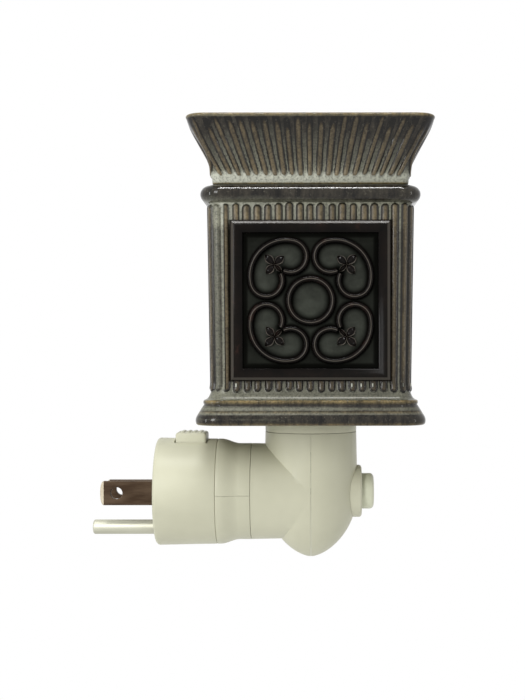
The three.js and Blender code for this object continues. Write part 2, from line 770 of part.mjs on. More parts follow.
function neckCollar() {
  const spigot = NECK_RADIUS - HOUSING_WALL - FIT;
  const bore = socketRadius + FIT;
  return revolve([
    [bore, NECK_HEIGHT - NECK_SPIGOT],
    [spigot, NECK_HEIGHT - NECK_SPIGOT],
    [spigot, ringStart],
    [NECK_RADIUS, ringStart],
    [NECK_RADIUS, ringEnd],
    [TUBE_RADIUS, ringEnd],
    [TUBE_RADIUS, tubeEnd],
    [bore, tubeEnd],
    [bore, NECK_HEIGHT - NECK_SPIGOT],
  ]);
}

function ringNut() {
  const outside = revolve(rodProfile(NUT_RADIUS, nutStart, nutStart + NUT_HEIGHT), NUT_SIDES);
  const bore = revolve(rodProfile(TUBE_RADIUS + FIT, nutStart - 1, nutStart + NUT_HEIGHT + 1));
  return outside.subtract(bore);
}

function socketInsulator() {
  const tailHole = CONTACT_TAIL_RADIUS + FIT;
  const underside = socketFloor - SOCKET_FLOOR;
  return revolve([
    [tailHole, underside],
    [socketRadius, underside],
    [socketRadius, tubeEnd + FIT],
    [TUBE_RADIUS, tubeEnd + FIT],
    [TUBE_RADIUS, socketTop],
    [socketBore, socketTop],
    [socketBore, socketFloor],
    [tailHole, socketFloor],
    [tailHole, underside],
  ], INNER_SEGMENTS);
}

function centreContact() {
  const discRadius = socketShellInner - 2 * FIT;
  const discStart = socketFloor + FIT;
  return revolve([
    [0, discStart - CONTACT_TAIL],
    [CONTACT_TAIL_RADIUS, discStart - CONTACT_TAIL],
    [CONTACT_TAIL_RADIUS, discStart],
    [discRadius, discStart],
    [discRadius, contactTop],
    [BULB_TIP_RADIUS, contactTop],
    [BULB_TIP_RADIUS / 2, contactTop + CONTACT_DOME],
    [0, contactTop + CONTACT_DOME],
  ], INNER_SEGMENTS);
}

function bulbCap() {
  const bore = BULB_CAP_RADIUS - BULB_CAP_WALL;
  return revolve([
    [0, bulbCapStart],
    [BULB_TIP_RADIUS + 2 * FIT, bulbCapStart],
    [BULB_CAP_RADIUS, bulbCapStart + BULB_CAP_RADIUS / 3],
    [BULB_CAP_RADIUS, bulbCapEnd],
    [bore, bulbCapEnd],
    [bore, bulbNeckStart - FIT],
    [0, bulbNeckStart - FIT],
  ], INNER_SEGMENTS);
}

// A candle-shaped bulb: a narrow neck, a full belly and a rounded nose
function bulbGlass() {
  const top = bulbNeckStart + BULB_GLASS_LENGTH;
  const belly = bulbNeckStart + 0.58 * BULB_GLASS_LENGTH;
  const outline = new THREE.SplineCurve([
    new THREE.Vector2(bulbNeckRadius, bulbCapEnd + FIT),
    new THREE.Vector2((bulbNeckRadius + BULB_GLASS_RADIUS) / 2, (bulbCapEnd + belly) / 2 - 1),
    new THREE.Vector2(BULB_GLASS_RADIUS, belly),
    new THREE.Vector2(0.6 * BULB_GLASS_RADIUS, (belly + 2 * top) / 3),
    new THREE.Vector2(0, top),
  ]);
  const outer = outline.getPoints(7).map((point) => [Math.max(point.x, 0), point.y]);
  const wall = BULB_GLASS_WALL;
  const inner = outer.slice(0, -2).map(([radius, height]) => [radius - wall, height]);
  return revolve([
    [bulbNeckBore, bulbNeckStart],
    [bulbNeckRadius, bulbNeckStart],
    ...outer,
    [0, top - 2 * wall],
    ...inner.reverse(),
    [bulbNeckBore, bulbNeckStart],
  ], INNER_SEGMENTS);
}

function bulbStem() {
  const radius = bulbNeckBore - FIT;
  return revolve([
    [0, bulbNeckStart],
    [radius, bulbNeckStart],
    [radius / 2, bulbNeckStart + STEM_LENGTH],
    [0, bulbNeckStart + STEM_LENGTH],
  ], INNER_SEGMENTS);
}

function filament() {
  const foot = bulbNeckStart + STEM_LENGTH + FIT;
  const half = FILAMENT_SPAN / 2;
  const curve = new THREE.CatmullRomCurve3([
    new THREE.Vector3(-0.2 * half, 0, foot),
    new THREE.Vector3(-half, 0, foot + FILAMENT_RISE),
    new THREE.Vector3(0, 0, foot + 0.85 * FILAMENT_RISE),
    new THREE.Vector3(half, 0, foot + FILAMENT_RISE),
    new THREE.Vector3(0.2 * half, 0, foot),
  ]);
  return rod(curve, FILAMENT_RADIUS, 10, 3);
}

// An insulated wire through the points given, in the neck's frame
function lead(points) {
  const curve = new THREE.CatmullRomCurve3(points.map((point) => new THREE.Vector3(...point)));
  return rod(curve, LEAD_RADIUS, 10, 5);
}

function leads() {
  const brushX = brushEnd - neckX + FIT;
  const hotY = hotPinY + CONTACT_WIDTH / 2 - BRUSH_THICKNESS / 2;
  const neutralY = neutralPinY - CONTACT_WIDTH / 2 + BRUSH_THICKNESS / 2;
  const switchBack = switchFront - SWITCH_LENGTH - FIT;
  const terminalY = SWITCH_WIDTH / 4;
  const underSocket = socketFloor - SOCKET_FLOOR - FIT;
  const underContact = socketFloor + FIT - CONTACT_TAIL - FIT;
  const half = brushX / 2;
  return {
    hot_lead: [
      [brushX, hotY, 0], [half, hotY, -2], [half / 2, terminalY, -2], [switchBack, terminalY, 0],
    ],
    neutral_lead: [
      [brushX, neutralY, 0], [half, neutralY, 2], [-socketBore / 2, -socketBore / 2, underSocket / 2],
      [-socketBore / 2, -socketBore / 2, underSocket],
    ],
    switched_lead: [
      [switchBack, -terminalY, 0], [switchBack - 3, -terminalY, 1], [switchBack - 2, -1, underContact / 2],
      [0, 0, underContact],
    ],
  };
}

// Half the body's width at a height above its underside
function bodyHalf(height) {
  const t = (height - bodyStart) / BODY_HEIGHT;
  return (BODY_WIDTH_LOW + (BODY_WIDTH_HIGH - BODY_WIDTH_LOW) * t) / 2;
}

// The body's outline as [half width, height] pairs: base roll, band, bead, cove, wall and shoulder
function bodyProfile() {
  const base = BASE_WIDTH / 2;
  const rollRadius = BASE_ROLL_HEIGHT / 2;
  const bandHalf = base - BASE_BEAD_INSET / 2;
  const beadHalf = base - BASE_BEAD_INSET;
  const low = BODY_WIDTH_LOW / 2;
  const shoulder = SHOULDER_WIDTH / 2;
  const neck = SHOULDER_TOP_WIDTH / 2;
  const high = BODY_WIDTH_HIGH / 2;
  const middle = shoulderStart + SHOULDER_HEIGHT / 2;
  const coveOuter = beadHalf - 0.4;
  return [
    ...arc([base - rollRadius / 2, rollRadius], [rollRadius / 2, rollRadius], -Math.PI / 2, Math.PI / 2, 5),
    [bandHalf - 0.6, bandStart + 0.3],
    [bandHalf - 1, beadStart - 0.3],
    [beadHalf - 0.35, beadStart],
    ...arc([coveOuter, (beadStart + coveStart) / 2], [0.4, BASE_BEAD_HEIGHT / 2],
      -Math.PI / 3, Math.PI / 2, 3),
    ...arc([coveOuter, bodyStart], [low - coveOuter, -BASE_COVE_HEIGHT], Math.PI / 2, 0, 3).slice(1),
    [high, shoulderStart],
    ...arc([high - 1, middle], [shoulder - high + 1, middle - shoulderStart],
      -Math.PI / 3, 0, 2),
    ...arc([neck, middle], [shoulder - neck, shoulderEnd - middle], 0, Math.PI / 2, 4).slice(1),
  ];
}

function bodySkin(profile, radius) {
  const middle = (BODY_WIDTH_LOW + BODY_WIDTH_HIGH) / 4;
  return loft(profile.map(([half, height]) => {
    const corner = Math.max(1, radius + CORNER_SPREAD * (half - middle));
    return roundedSquare(half, corner, height);
  }));
}

// A full-height reed, rounded at both ends and leaning with the wall, before it is put in its place
function longReed(low, high) {
  const length = high - low - 2 * REED_RADIUS;
  const geometry = new THREE.CapsuleGeometry(REED_RADIUS, length, 1, 4, 1);
  geometry.rotateX(Math.PI / 2 + wallLean);
  geometry.translate(0, REED_SINK, (low + high) / 2);
  return geometry;
}

// A row of short reeds side by side on the front wall, as a ridged strip
function reedRow(low, high) {
  const outline = new THREE.Shape();
  const half = (REEDS_OVER_PLAQUE * REED_PITCH) / 2;
  outline.moveTo(-half, REED_RADIUS);
  for (let k = 0; k < REEDS_OVER_PLAQUE; k += 1) {
    const valley = k * REED_PITCH - half;
    outline.lineTo(valley, REED_SINK);
    outline.lineTo(valley + REED_PITCH / 2, REED_SINK - REED_RADIUS);
  }
  outline.lineTo(half, REED_SINK);
  outline.lineTo(half, REED_RADIUS);
  outline.closePath();
  const geometry = new THREE.ExtrudeGeometry(outline, { depth: high - low, bevelEnabled: false });
  geometry.translate(0, 0, (low - high) / 2);
  geometry.rotateX(wallLean);
  const middle = (low + high) / 2;
  geometry.translate(0, -bodyHalf(middle), middle);
  return geometry;
}

// The reeds of one side: a row broken by the plaque or in one length, one reed beyond each end of it,
// and two round a corner
function sideReeds(hasPlaque) {
  const foot = coveStart + 0.45 * BASE_COVE_HEIGHT;
  const head = shoulderStart + 1.5 * REED_RADIUS;
  const half = bodyHalf((foot + head) / 2);
  const below = PLAQUE_FOOT + REED_RADIUS;
  const above = PLAQUE_FOOT + PLAQUE_SIZE - REED_RADIUS;
  const reeds = hasPlaque ? [reedRow(foot, below), reedRow(above, head)] : [reedRow(foot, head)];
  for (const side of [-1, 1]) {
    const across = (side * (REEDS_OVER_PLAQUE + 1) * REED_PITCH) / 2;
    reeds.push(longReed(foot, head).translate(across, -half, 0));
  }
  for (const turn of [Math.PI / 6, Math.PI / 3]) {
    const corner = half - CORNER_RADIUS;
    const reed = longReed(foot, head).translate(0, -CORNER_RADIUS, 0).rotateZ(turn);
    reeds.push(reed.translate(corner, -corner, 0));
  }
  return joined(reeds.map(solidOf));
}

// The lean of the walls, and a plaque's place on the front wall
const wallLean = Math.atan2(BODY_WIDTH_HIGH - BODY_WIDTH_LOW, 2 * BODY_HEIGHT);
const plaqueMiddle = PLAQUE_FOOT + PLAQUE_SIZE / 2;

// A shallow square seat for a plaque, cut a little larger than the plaque
function plaqueSeat(angle) {
  const half = PLAQUE_SIZE / 2 + FIT;
  const geometry = new THREE.BoxGeometry(2 * half, 2 * PLAQUE_RECESS + 2 * REED_RADIUS * 2, 2 * half);
  geometry.translate(0, -2 * REED_RADIUS, 0);
  geometry.rotateX(wallLean);
  geometry.translate(0, -bodyHalf(plaqueMiddle), plaqueMiddle);
  geometry.rotateZ(angle);
  return solidOf(geometry);
}

function warmerBody() {
  const skin = bodySkin(bodyProfile(), CORNER_RADIUS);
  const cavityLow = BODY_WIDTH_LOW / 2 - BODY_WALL;
  const cavityHigh = SHOULDER_TOP_WIDTH / 2 - BODY_WALL;
  const cavity = bodySkin(
    [[cavityLow, BODY_FLOOR], [cavityHigh, shoulderStart], [cavityHigh, shoulderEnd + 1]],
    CORNER_RADIUS,
  );
  const neckHole = revolve(rodProfile(TUBE_RADIUS + FIT, -1, BODY_FLOOR + 1));
  const seats = [0, Math.PI].map(plaqueSeat);
  const reeds = [0, 90, 180, 270].map((angle) => sideReeds(angle % 180 === 0).rotate([0, 0, angle]));
  return skin.add(joined(reeds)).subtract(joined([cavity, neckHole, ...seats]));
}

// The heart scroll's centre line, pointing along +X from the plaque's middle
function heartCurve() {
  const reach = HEART_RADIUS - LOBE_RADIUS;
  const lobeX = HEART_OFFSET + reach * Math.cos(LOBE_START);
  const lobeY = reach * Math.sin(LOBE_START);
  const end = LOBE_START + LOBE_SWEEP;
  const path = new THREE.Path();
  path.absarc(lobeX, -lobeY, LOBE_RADIUS, -end, -LOBE_START, false);
  path.absarc(HEART_OFFSET, 0, HEART_RADIUS, -LOBE_START, LOBE_START, false);
  path.absarc(lobeX, lobeY, LOBE_RADIUS, LOBE_START, end, false);
  const points = path.getSpacedPoints(30).map((point) => new THREE.Vector3(point.x, point.y, 0));
  return new THREE.CatmullRomCurve3(points);
}

function leaf(direction) {
  const geometry = new THREE.SphereGeometry(1, 4, 2);
  geometry.rotateX(Math.PI / 2);
  geometry.scale(LEAF_LENGTH / 2, LEAF_WIDTH / 2, SCROLL_RADIUS);
  geometry.translate(LEAF_LENGTH / 2, 0, 0);
  geometry.rotateZ(direction);
  geometry.translate(TREFOIL_OFFSET, 0, 0);
  return solidOf(geometry);
}

// One heart with its stem and three leaves
function heart() {
  const stem = new THREE.LineCurve3(
    new THREE.Vector3(HEART_OFFSET + LOBE_RADIUS / 3, 0, 0),
    new THREE.Vector3(TREFOIL_OFFSET + LEAF_WIDTH / 2, 0, 0),
  );
  return joined([
    rod(heartCurve(), SCROLL_RADIUS, 18, 4),
    rod(stem, SCROLL_RADIUS, 1, 4),
    leaf(0),
    leaf(LEAF_SPREAD),
    leaf(-LEAF_SPREAD),
  ]);
}

// A square moulding, mitred at its corners, from [half size, height] pairs
function squareMoulding(profile) {
  const points = profile.map(([half, height]) => new THREE.Vector2(half * Math.SQRT2, height));
  const geometry = new THREE.LatheGeometry(points, 4, Math.PI / 4);
  geometry.rotateX(Math.PI / 2);
  return solidOf(geometry);
}

// A plaque lying on its back: frame, panel, ring and four hearts
function plaque() {
  const outer = PLAQUE_SIZE / 2;
  const inner = outer - FRAME_WIDTH;
  const frame = squareMoulding([
    [0, 0],
    [outer, 0],
    [outer, PANEL_THICKNESS],
    [outer - FRAME_LEDGE / 2, FRAME_HEIGHT - FRAME_LEDGE],
    [outer - FRAME_LEDGE, FRAME_HEIGHT - FRAME_LEDGE],
    [outer - 1.5 * FRAME_LEDGE, FRAME_HEIGHT],
    [outer - 2.5 * FRAME_LEDGE, FRAME_HEIGHT],
    [inner + FRAME_LEDGE / 2, (FRAME_HEIGHT + PANEL_THICKNESS) / 2],
    [inner, PANEL_THICKNESS],
    [0, PANEL_THICKNESS],
  ]);
  const ringGeometry = new THREE.TorusGeometry(RING_RADIUS, SCROLL_RADIUS, 4, 18);
  const hearts = [1, 3, 5, 7].map((eighth) => heart().rotate([0, 0, eighth * 45]));
  const scrolls = joined([solidOf(ringGeometry), ...hearts]);
  const above = block([-outer, -outer, PANEL_THICKNESS / 2], [outer, outer, 2 * FRAME_HEIGHT]);
  const raised = scrolls.scale([1, 1, SCROLL_RISE / SCROLL_RADIUS]).translate([0, 0, PANEL_THICKNESS - 0.05]);
  return frame.add(raised.intersect(above));
}

// The dish's flare from neck to rim, as a curve of half width and height
const flare = new THREE.CubicBezierCurve(
  new THREE.Vector2(DISH_NECK_WIDTH / 2, DISH_NECK_HEIGHT),
  new THREE.Vector2(DISH_NECK_WIDTH / 2 - 0.4, DISH_NECK_HEIGHT + 0.31 * DISH_HEIGHT),
  new THREE.Vector2((DISH_NECK_WIDTH + 3 * DISH_RIM_WIDTH) / 8, 0.66 * DISH_HEIGHT),
  new THREE.Vector2(DISH_RIM_WIDTH / 2, DISH_HEIGHT - DISH_LIP_HEIGHT),
);

function dishCorner(half) {
  const t = (half - DISH_NECK_WIDTH / 2) / ((DISH_RIM_WIDTH - DISH_NECK_WIDTH) / 2);
  return DISH_NECK_CORNER + (DISH_RIM_CORNER - DISH_NECK_CORNER) * Math.max(0, t);
}

function dishSkin(profile) {
  return loft(profile.map(([half, height]) => roundedSquare(half, dishCorner(half), height)));
}

// One ring of the dish's outside, with its reeds standing out as a zigzag along each side
function reededSquare(half, height, relief) {
  const corner = dishCorner(half);
  const straight = half - corner;
  const pitch = (2 * straight) / CROWN_REEDS;
  const centre = new THREE.Vector2();
  const points = [];
  for (let side = 0; side < 4; side += 1) {
    const turn = (side * Math.PI) / 2;
    const outline = [];
    for (let step = 0; step < CORNER_STEPS; step += 1) {
      const angle = (Math.PI / 2) * (step / CORNER_STEPS);
      outline.push([straight + corner * Math.cos(angle), straight + corner * Math.sin(angle)]);
    }
    for (let k = 0; k < CROWN_REEDS; k += 1) {
      const across = straight - pitch * k;
      outline.push([across, half]);
      outline.push([across - pitch / 2, half + relief]);
    }
    for (const [x, y] of outline) {
      const point = new THREE.Vector2(x, y).rotateAround(centre, turn);
      points.push(new THREE.Vector3(point.x, point.y, height));
    }
  }
  return points;
}

function waxDish() {
  const rim = DISH_RIM_WIDTH / 2;
  const neck = DISH_NECK_WIDTH / 2;
  const reeded = loft([0, 0.35, 0.65, 1].map((t) => {
    const point = flare.getPoint(t);
    const relief = CROWN_REED_RELIEF * (1 - CROWN_REED_FADE * t * t);
    return reededSquare(point.x - 2 * DISH_STEP * t, point.y, relief);
  }));
  const foot = dishSkin([[neck - DISH_STEP, 0], [neck - DISH_STEP, DISH_NECK_HEIGHT + 1]]);
  const lip = dishSkin([
    [rim, DISH_HEIGHT - DISH_LIP_HEIGHT - DISH_STEP],
    [rim, DISH_HEIGHT - DISH_LIP_HEIGHT / 3],
    [rim - DISH_LIP_HEIGHT / 3, DISH_HEIGHT],
  ]);
  const outside = joined([reeded, foot, lip]);
  const bowl = flare.getPoints(4)
    .map((point) => [point.x - DISH_WALL, point.y])
    .filter(([, height]) => height > DISH_FLOOR + 1);
  const floorHalf = bowl[0][0] - DISH_WALL / 2;
  const inside = [
    [floorHalf, DISH_FLOOR],
    ...bowl,
    [rim - DISH_WALL, DISH_HEIGHT + 1],
  ];
  const spigotHalf = SHOULDER_TOP_WIDTH / 2 - BODY_WALL - RUN;
  const spigot = dishSkin([[spigotHalf, -DISH_SPIGOT], [spigotHalf, 1]]);
  const hollow = dishSkin([
    [spigotHalf - DISH_SPIGOT_WALL, -DISH_SPIGOT - 1],
    [spigotHalf - DISH_SPIGOT_WALL, DISH_FLOOR - DISH_WALL],
  ]);
  return outside.add(spigot).subtract(dishSkin(inside).add(hollow));
}

// The assembly
const warmer = new THREE.Group();

const plug = new THREE.Group();
piece(plug, 'plug_shell', plugShell(), plastic);
piece(plug, 'blade_block', bladeBlock(), darkPlastic);
piece(plug, 'neutral_blade', blade(NEUTRAL_WIDTH), nickel).position.y = -BLADE_SPACING / 2;
piece(plug, 'hot_blade', blade(HOT_WIDTH), nickel).position.y = BLADE_SPACING / 2;
piece(plug, 'earth_pin', earthPin(), plastic).position.z = -PIN_DROP;
piece(plug, 'swivel_hub', swivelHub(), darkPlastic);
piece(plug, 'hot_ring', contactRing(hotPinY), brass);
piece(plug, 'neutral_ring', contactRing(neutralPinY), brass);
piece(plug, 'lock_button', lockButton(), plastic);
const lockSpring = coilSpring(LOCK_SPRING_RADIUS, shelfTop + FIT, lockLipBottom - FIT);
piece(plug, 'lock_spring', lockSpring, spring).position.x = lockMiddle;
warmer.add(plug);

const collar = new THREE.Group();
piece(collar, 'collar_upper', collarHalf(1), plastic);
piece(collar, 'collar_lower', collarHalf(-1), plastic);
piece(collar, 'brush_block', brushBlock(), darkPlastic);
piece(collar, 'hot_brush', brush(hotPinY), brass);
piece(collar, 'neutral_brush', brush(neutralPinY), brass);
warmer.add(collar);

const neck = new THREE.Group();
neck.position.x = neckX;
piece(neck, 'rear_housing', elbowHalf(-1), plastic);
piece(neck, 'front_housing', frontHousing(), plastic);
piece(neck, 'switch_bezel', switchBezel(), plastic);
piece(neck, 'switch_body', switchBody(), darkPlastic);
piece(neck, 'switch_button', switchButton(), buttonPlastic);
piece(neck, 'switch_spring', switchSpring(), spring).rotation.y = Math.PI / 2;
piece(neck, 'neck_collar', neckCollar(), plastic);
const washerEnd = washerStart + WASHER_THICKNESS;
const washerProfile = tubeProfile(TUBE_RADIUS + FIT, WASHER_RADIUS, washerStart, washerEnd);
piece(neck, 'washer', revolve(washerProfile), rubber);
piece(neck, 'ring_nut', ringNut(), phenolic);
piece(neck, 'socket_insulator', socketInsulator(), phenolic);
const shellProfile = tubeProfile(socketShellInner, socketShellOuter, socketFloor + FIT, socketTop - FIT);
piece(neck, 'socket_shell', revolve(shellProfile, INNER_SEGMENTS), brass);
piece(neck, 'centre_contact', centreContact(), brass);
const tipProfile = rodProfile(BULB_TIP_RADIUS, bulbTipStart, bulbTipStart + BULB_TIP_HEIGHT);
piece(neck, 'bulb_tip', revolve(tipProfile, INNER_SEGMENTS), nickel);
piece(neck, 'bulb_cap', bulbCap(), nickel);
piece(neck, 'bulb_glass', bulbGlass(), glass);
piece(neck, 'bulb_stem', bulbStem(), glass);
piece(neck, 'filament', filament(), nickel);
for (const [name, route] of Object.entries(leads())) {
  piece(neck, name, lead(route), insulation);
}
warmer.add(neck);

const ceramic = new THREE.Group();
ceramic.position.set(neckX, 0, ceramicFoot);
piece(ceramic, 'warmer_body', warmerBody(), glaze);
piece(ceramic, 'wax_dish', waxDish(), glaze).position.z = dishFoot;
for (const [name, turn] of [['plaque_front', 0], ['plaque_back', Math.PI]]) {
  const wall = new THREE.Group();
  wall.rotation.z = turn;
  const mesh = piece(wall, name, plaque(), bronze);
  mesh.rotation.x = Math.PI / 2 + wallLean;
  const seat = bodyHalf(plaqueMiddle) - PLAQUE_RECESS + FIT;
  mesh.position.set(0, -seat, plaqueMiddle);
  ceramic.add(wall);
}
warmer.add(ceramic);

export default warmer;
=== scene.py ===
"""A plug-in wax warmer: reeded ceramic body and dish, bronze scroll plaques, ivory plug and elbow."""

from math import atan2, copysign, cos, pi, radians, sin, sqrt

import bmesh
import bpy
import numpy as np
from mathutils import Matrix, Vector


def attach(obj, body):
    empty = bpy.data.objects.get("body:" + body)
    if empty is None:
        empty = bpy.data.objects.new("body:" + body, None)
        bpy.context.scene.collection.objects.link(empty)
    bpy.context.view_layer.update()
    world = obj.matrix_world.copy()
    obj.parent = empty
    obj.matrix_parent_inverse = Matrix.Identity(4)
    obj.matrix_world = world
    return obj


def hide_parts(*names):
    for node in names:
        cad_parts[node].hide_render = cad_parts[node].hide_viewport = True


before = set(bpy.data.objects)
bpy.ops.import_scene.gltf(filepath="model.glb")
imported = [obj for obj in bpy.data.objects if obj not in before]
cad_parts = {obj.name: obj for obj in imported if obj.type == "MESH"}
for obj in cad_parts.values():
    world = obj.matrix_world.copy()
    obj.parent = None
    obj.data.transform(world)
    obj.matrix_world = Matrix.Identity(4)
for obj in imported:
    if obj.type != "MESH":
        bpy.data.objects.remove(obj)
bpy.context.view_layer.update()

MM = 0.001
SQUARE = ((-1, -1), (1, -1), (1, 1), (-1, 1))

# Fits of the plastic pieces, in millimetres as all sizes here, and how far a cutting tool reaches past them
GAP = 0.3
RUN = 0.4
SEAM = 0.04
OVER = 1.0
BEYOND = 40.0

# Plug head and lock button
HEAD_RADIUS = 17.75
HEAD_SEAM_RADIUS = 17.4
HEAD_LENGTH = 20.08
HEAD_WALL = 2.2
HEAD_FACE = 3.2
HEAD_EDGE = 1.2
HEAD_RIM_ROUND = 0.25
HEAD_DRAFT = ((0.12, 7), (0.24, 13))
LOCK_START = 6.4
LOCK_END = 16.5
LOCK_WIDTH = 11.7
LOCK_TOP = 20.05
LOCK_ROUND = 0.9
LOCK_LIP_BOTTOM = 12.0
LOCK_LIP_TOP = 13.3
LOCK_LIP_WIDTH = 13.5
RIDGES = 4
RIDGE_RISE = 0.3
RIDGE_ROOT = 1.2
RIDGE_ROUND = 0.3
RIDGE_GROOVE = 0.7
RIDGE_END_MARGIN = 1.2
RIDGE_SIDE_MARGIN = 1.1

# Blades and earth pin
BLADE_SPACING = 12.7
BLADE_THICKNESS = 1.5
BLADE_REACH = 18.2
BLADE_END = 12.0
BLADE_EDGE = 0.28
BLADE_HOLE_RADIUS = 1.95
BLADE_HOLE_INSET = 5.4
BLADE_NOSE = 1.2
BLADE_NOSE_SHARE = 0.85
BLADE_COIN = 0.3
BLADES = (("neutral_blade", 7.9, -1), ("hot_blade", 6.35, 1))
PIN_RADIUS = 2.4
PIN_REACH = 21.4
PIN_DROP = 11.9
PIN_END = 9.0
PIN_ROUND = 0.7

# Swivel collar
COLLAR_START = 20.16
COLLAR_END = 31.28
COLLAR_SHELF = 1.0
COLLAR_TAPER = 6.4
COLLAR_START_ROUND = 0.2
COLLAR_END_ROUND = 0.15
COLLAR_BORE = 10.4
COLLAR_CHAMBER = 12.4
COLLAR_LIP_END = 23.9
SPIGOT_RADIUS = 13.0
SPIGOT_END = 35.6

# Elbow
NECK_X = 50.95
NECK_AXIS = (NECK_X, 0, 0)
BARREL_RADIUS = 15.9
BARREL_START = 31.4
ELBOW_RADIUS = 15.5
NECK_RADIUS = 15.1
NECK_HEIGHT = 19.8
DOME_DEPTH = 21.765
DOME_TAPER = 1.24
HOUSING_WALL = 2.2
RING_START = 19.92
RING_END = 23.3
RING_ROUND = 0.2
TUBE_RADIUS = 11.6
TUBE_END = 36.9
TUBE_BORE = 9.45
NECK_SPIGOT_RADIUS = 12.6
NECK_SPIGOT_START = 13.8

# Switch
BOSS_RADIUS = 8.65
BOSS_FACE = 16.8
BOSS_BACK = 9.0
BOSS_ROUND = 0.9
BOSS_BORE = 7.3
BOSS_LIP = 2.6
BUTTON_BORE = 6.3
BUTTON_RADIUS = 5.9
BUTTON_FACE = 20.8
BUTTON_ROUND = 1.35
BUTTON_FLANGE = 6.9
BUTTON_FLANGE_DEPTH = 1.4
BUTTON_STEM_RADIUS = 2.0
BUTTON_STEM_BACK = 8.0
STRIP_HALF = 7.3
STRIP_BACK = 5.0

# Ceramic body, heights from its underside
CERAMIC_FOOT = 23.6
BODY_FLOOR = 5.0
BODY_WALL = 4.5
NECK_HOLE = 11.9
CORNER = 5.0
CORNER_SPREAD = 0.5
BASE_HALF = 35.8
BEAD_HALF = 33.5
BEAD_START = 6.4
COVE_START = 7.8
COVE_OUTER = 33.1
BODY_LOW = (30.8, 13.6)
BODY_HIGH = (31.7, 69.0)
BODY_MIDDLE = BODY_LOW[0] + 0.6
SHOULDER_HALF = 34.35
SHOULDER_ROUND = 2.7
SHOULDER_TOP = 31.0
SHOULDER_FLAT = (23, 40)
BODY_TOP = 74.5
MOUTH_CORNER = 2.7
MOUTH_CHAMFER = 0.4
MOUTH_DEPTH = 34.5
CAVITY_CORNER = 2.5
BODY_STEPS = (163, 16)

# Reeds of the body
PITCH = 3.27
REEDS_OVER_PLAQUE = 15
REED_HALF = 1.2
REED_RISE = 0.75
REED_NEAR = 2.0
REED_FOOT = 11.5
REED_HEAD = 67.5
BEHIND_PLAQUE = (16, 61)

# Base moulding from the underside up: inset from the base's half width, height, darkness and tan wear
# The pale row 3.6 high on the roll's top is a painted highlight, with tan wear just above it
BASE_ROWS = (
    (1.2, 0, 0.6, 0.6), (0.7, 0.05, 0.7, 0.5), (0.35, 0.25, 0.8, 0.4), (0.15, 0.55, 0.9, 0.3),
    (0.05, 0.9, 1, 0.05), (0, 1.4, 0.95, 0), (0.05, 2, 0.82, 0), (0.25, 2.6, 1, 0),
    (0.55, 3.15, 0.9, 0), (0.85, 3.6, 0.4, 0), (1.02, 3.9, 0.55, 0.2), (1.15, 4.1, 0.6, 0.25),
    (1.25, 4.3, 0.95, 0.15), (1.5, 4.7, 0.55, 0), (1.8, 5.2, 0.42, 0), (2.1, 5.7, 0.65, 0),
    (2.35, 6.1, 0.95, 0), (2.5, 6.3, 1, 0),
)

# Levels of the cove and the wall: lowest, highest, their count and their darkness
WALL_ROWS = (
    (COVE_START + 0.12, 9.4, 6, 0.4),
    (9.7, 15.2, 18, 0.34),
    (19, 60, 8, 0.36),
    (62.5, BODY_HIGH[1] - 0.1, 24, -0.05),
)

# Glaze on the body: darkness and tan wear by height, painted shade along X, and painted glints at the reeds'
# feet and veils on the reeds
BEAD_DARK = 0.9
BEAD_WEAR = ((-0.5, 0, 0.5, 0.7), (0.1, 0.5, 0.75, 0.3))
SHOULDER_DARK = ((-2.6, -1.6, -0.4, 1.6, 2.2), (0.5, 0.8, 1, 1, 0.85))
CREST_BROWN = ((15, 20, 62, 66), (0.5, 0.25, 0.25, 0.15))
# Glaze darkened towards +X, away from the key lamp, on every wall: painted shade
PAINTED_SIDE_SHADE = 0.14
VEIL_CREST = 0.22
VEIL_FLANK = 0.5
# Pale marks on and round the feet of the stoutest reeds: painted glints
PAINTED_GLINT = -0.3
GLINT_STOUTNESS = 0.99
GLINT_ASIDE = 0.3
GLINT_RISE = 1.1
GLINT_HALF_WIDTH = 0.26
GLINT_HALF_HEIGHT = 0.65

# Wax dish, heights from its underside
DISH_FOOT = 98.7
DISH_NECK = 30.7
DISH_NECK_HEIGHT = 2.4
DISH_RIM = 38.4
DISH_HEIGHT = 20.6
DISH_LIP = 1.4
DISH_EDGE = -0.25
DISH_FLOOR = 5.5
DISH_FLOOR_ROUND = 3.0
DISH_WALL = 3.4
DISH_WALL_RISE = 0.6
DISH_WALL_FOOT = 0.35
DISH_CORNER = 2.4
DISH_CORNER_GROWTH = 3.1
DISH_SPIGOT = 26.1
DISH_SPIGOT_WALL = 3.0
DISH_SPIGOT_DEPTH = 4.0
DISH_SPIGOT_CHAMFER = 0.3
DISH_UNDERSIDE = 2.1
DISH_STEPS = (205, 24)
CROWN_ROWS = 48
CROWN_REEDS = 21
CROWN_REED_HALF = 0.96
CROWN_REED_SPREAD = 0.12
CROWN_REED_RISE = 0.7
CROWN_FAN = 0.32
CROWN_SWAY = 0.18
CROWN_FADE = 0.32
CROWN_DARK = ((0, 0.08, 0.2, 0.5, 0.75, 1), (-0.36, 0, 0.36, 0.58, 0.8, 0.95))
CROWN_CORNER_SHADE = 0.25

# Flare of the dish, from its foot by two guides to its top: half width and height
FLARE = (
    (DISH_NECK, DISH_NECK_HEIGHT),
    (DISH_NECK - 0.4, DISH_NECK_HEIGHT + 0.31 * DISH_HEIGHT),
    ((DISH_NECK + 3 * DISH_RIM) / 4, 0.66 * DISH_HEIGHT),
    (DISH_RIM - 0.25, DISH_HEIGHT - DISH_LIP),
)

# Foot of the crown: inset from the neck's half width, height, darkness and tan wear
CROWN_FOOT = (
    (0.4, DISH_EDGE, 0.4, 0.6), (0.2, DISH_EDGE + 0.15, 0.2, 0.8), (0.15, DISH_EDGE + 0.4, -0.2, 0.3),
    (0.12, DISH_EDGE + 0.7, -0.3, 0), (0.06, 1.7, -0.36, 0),
)

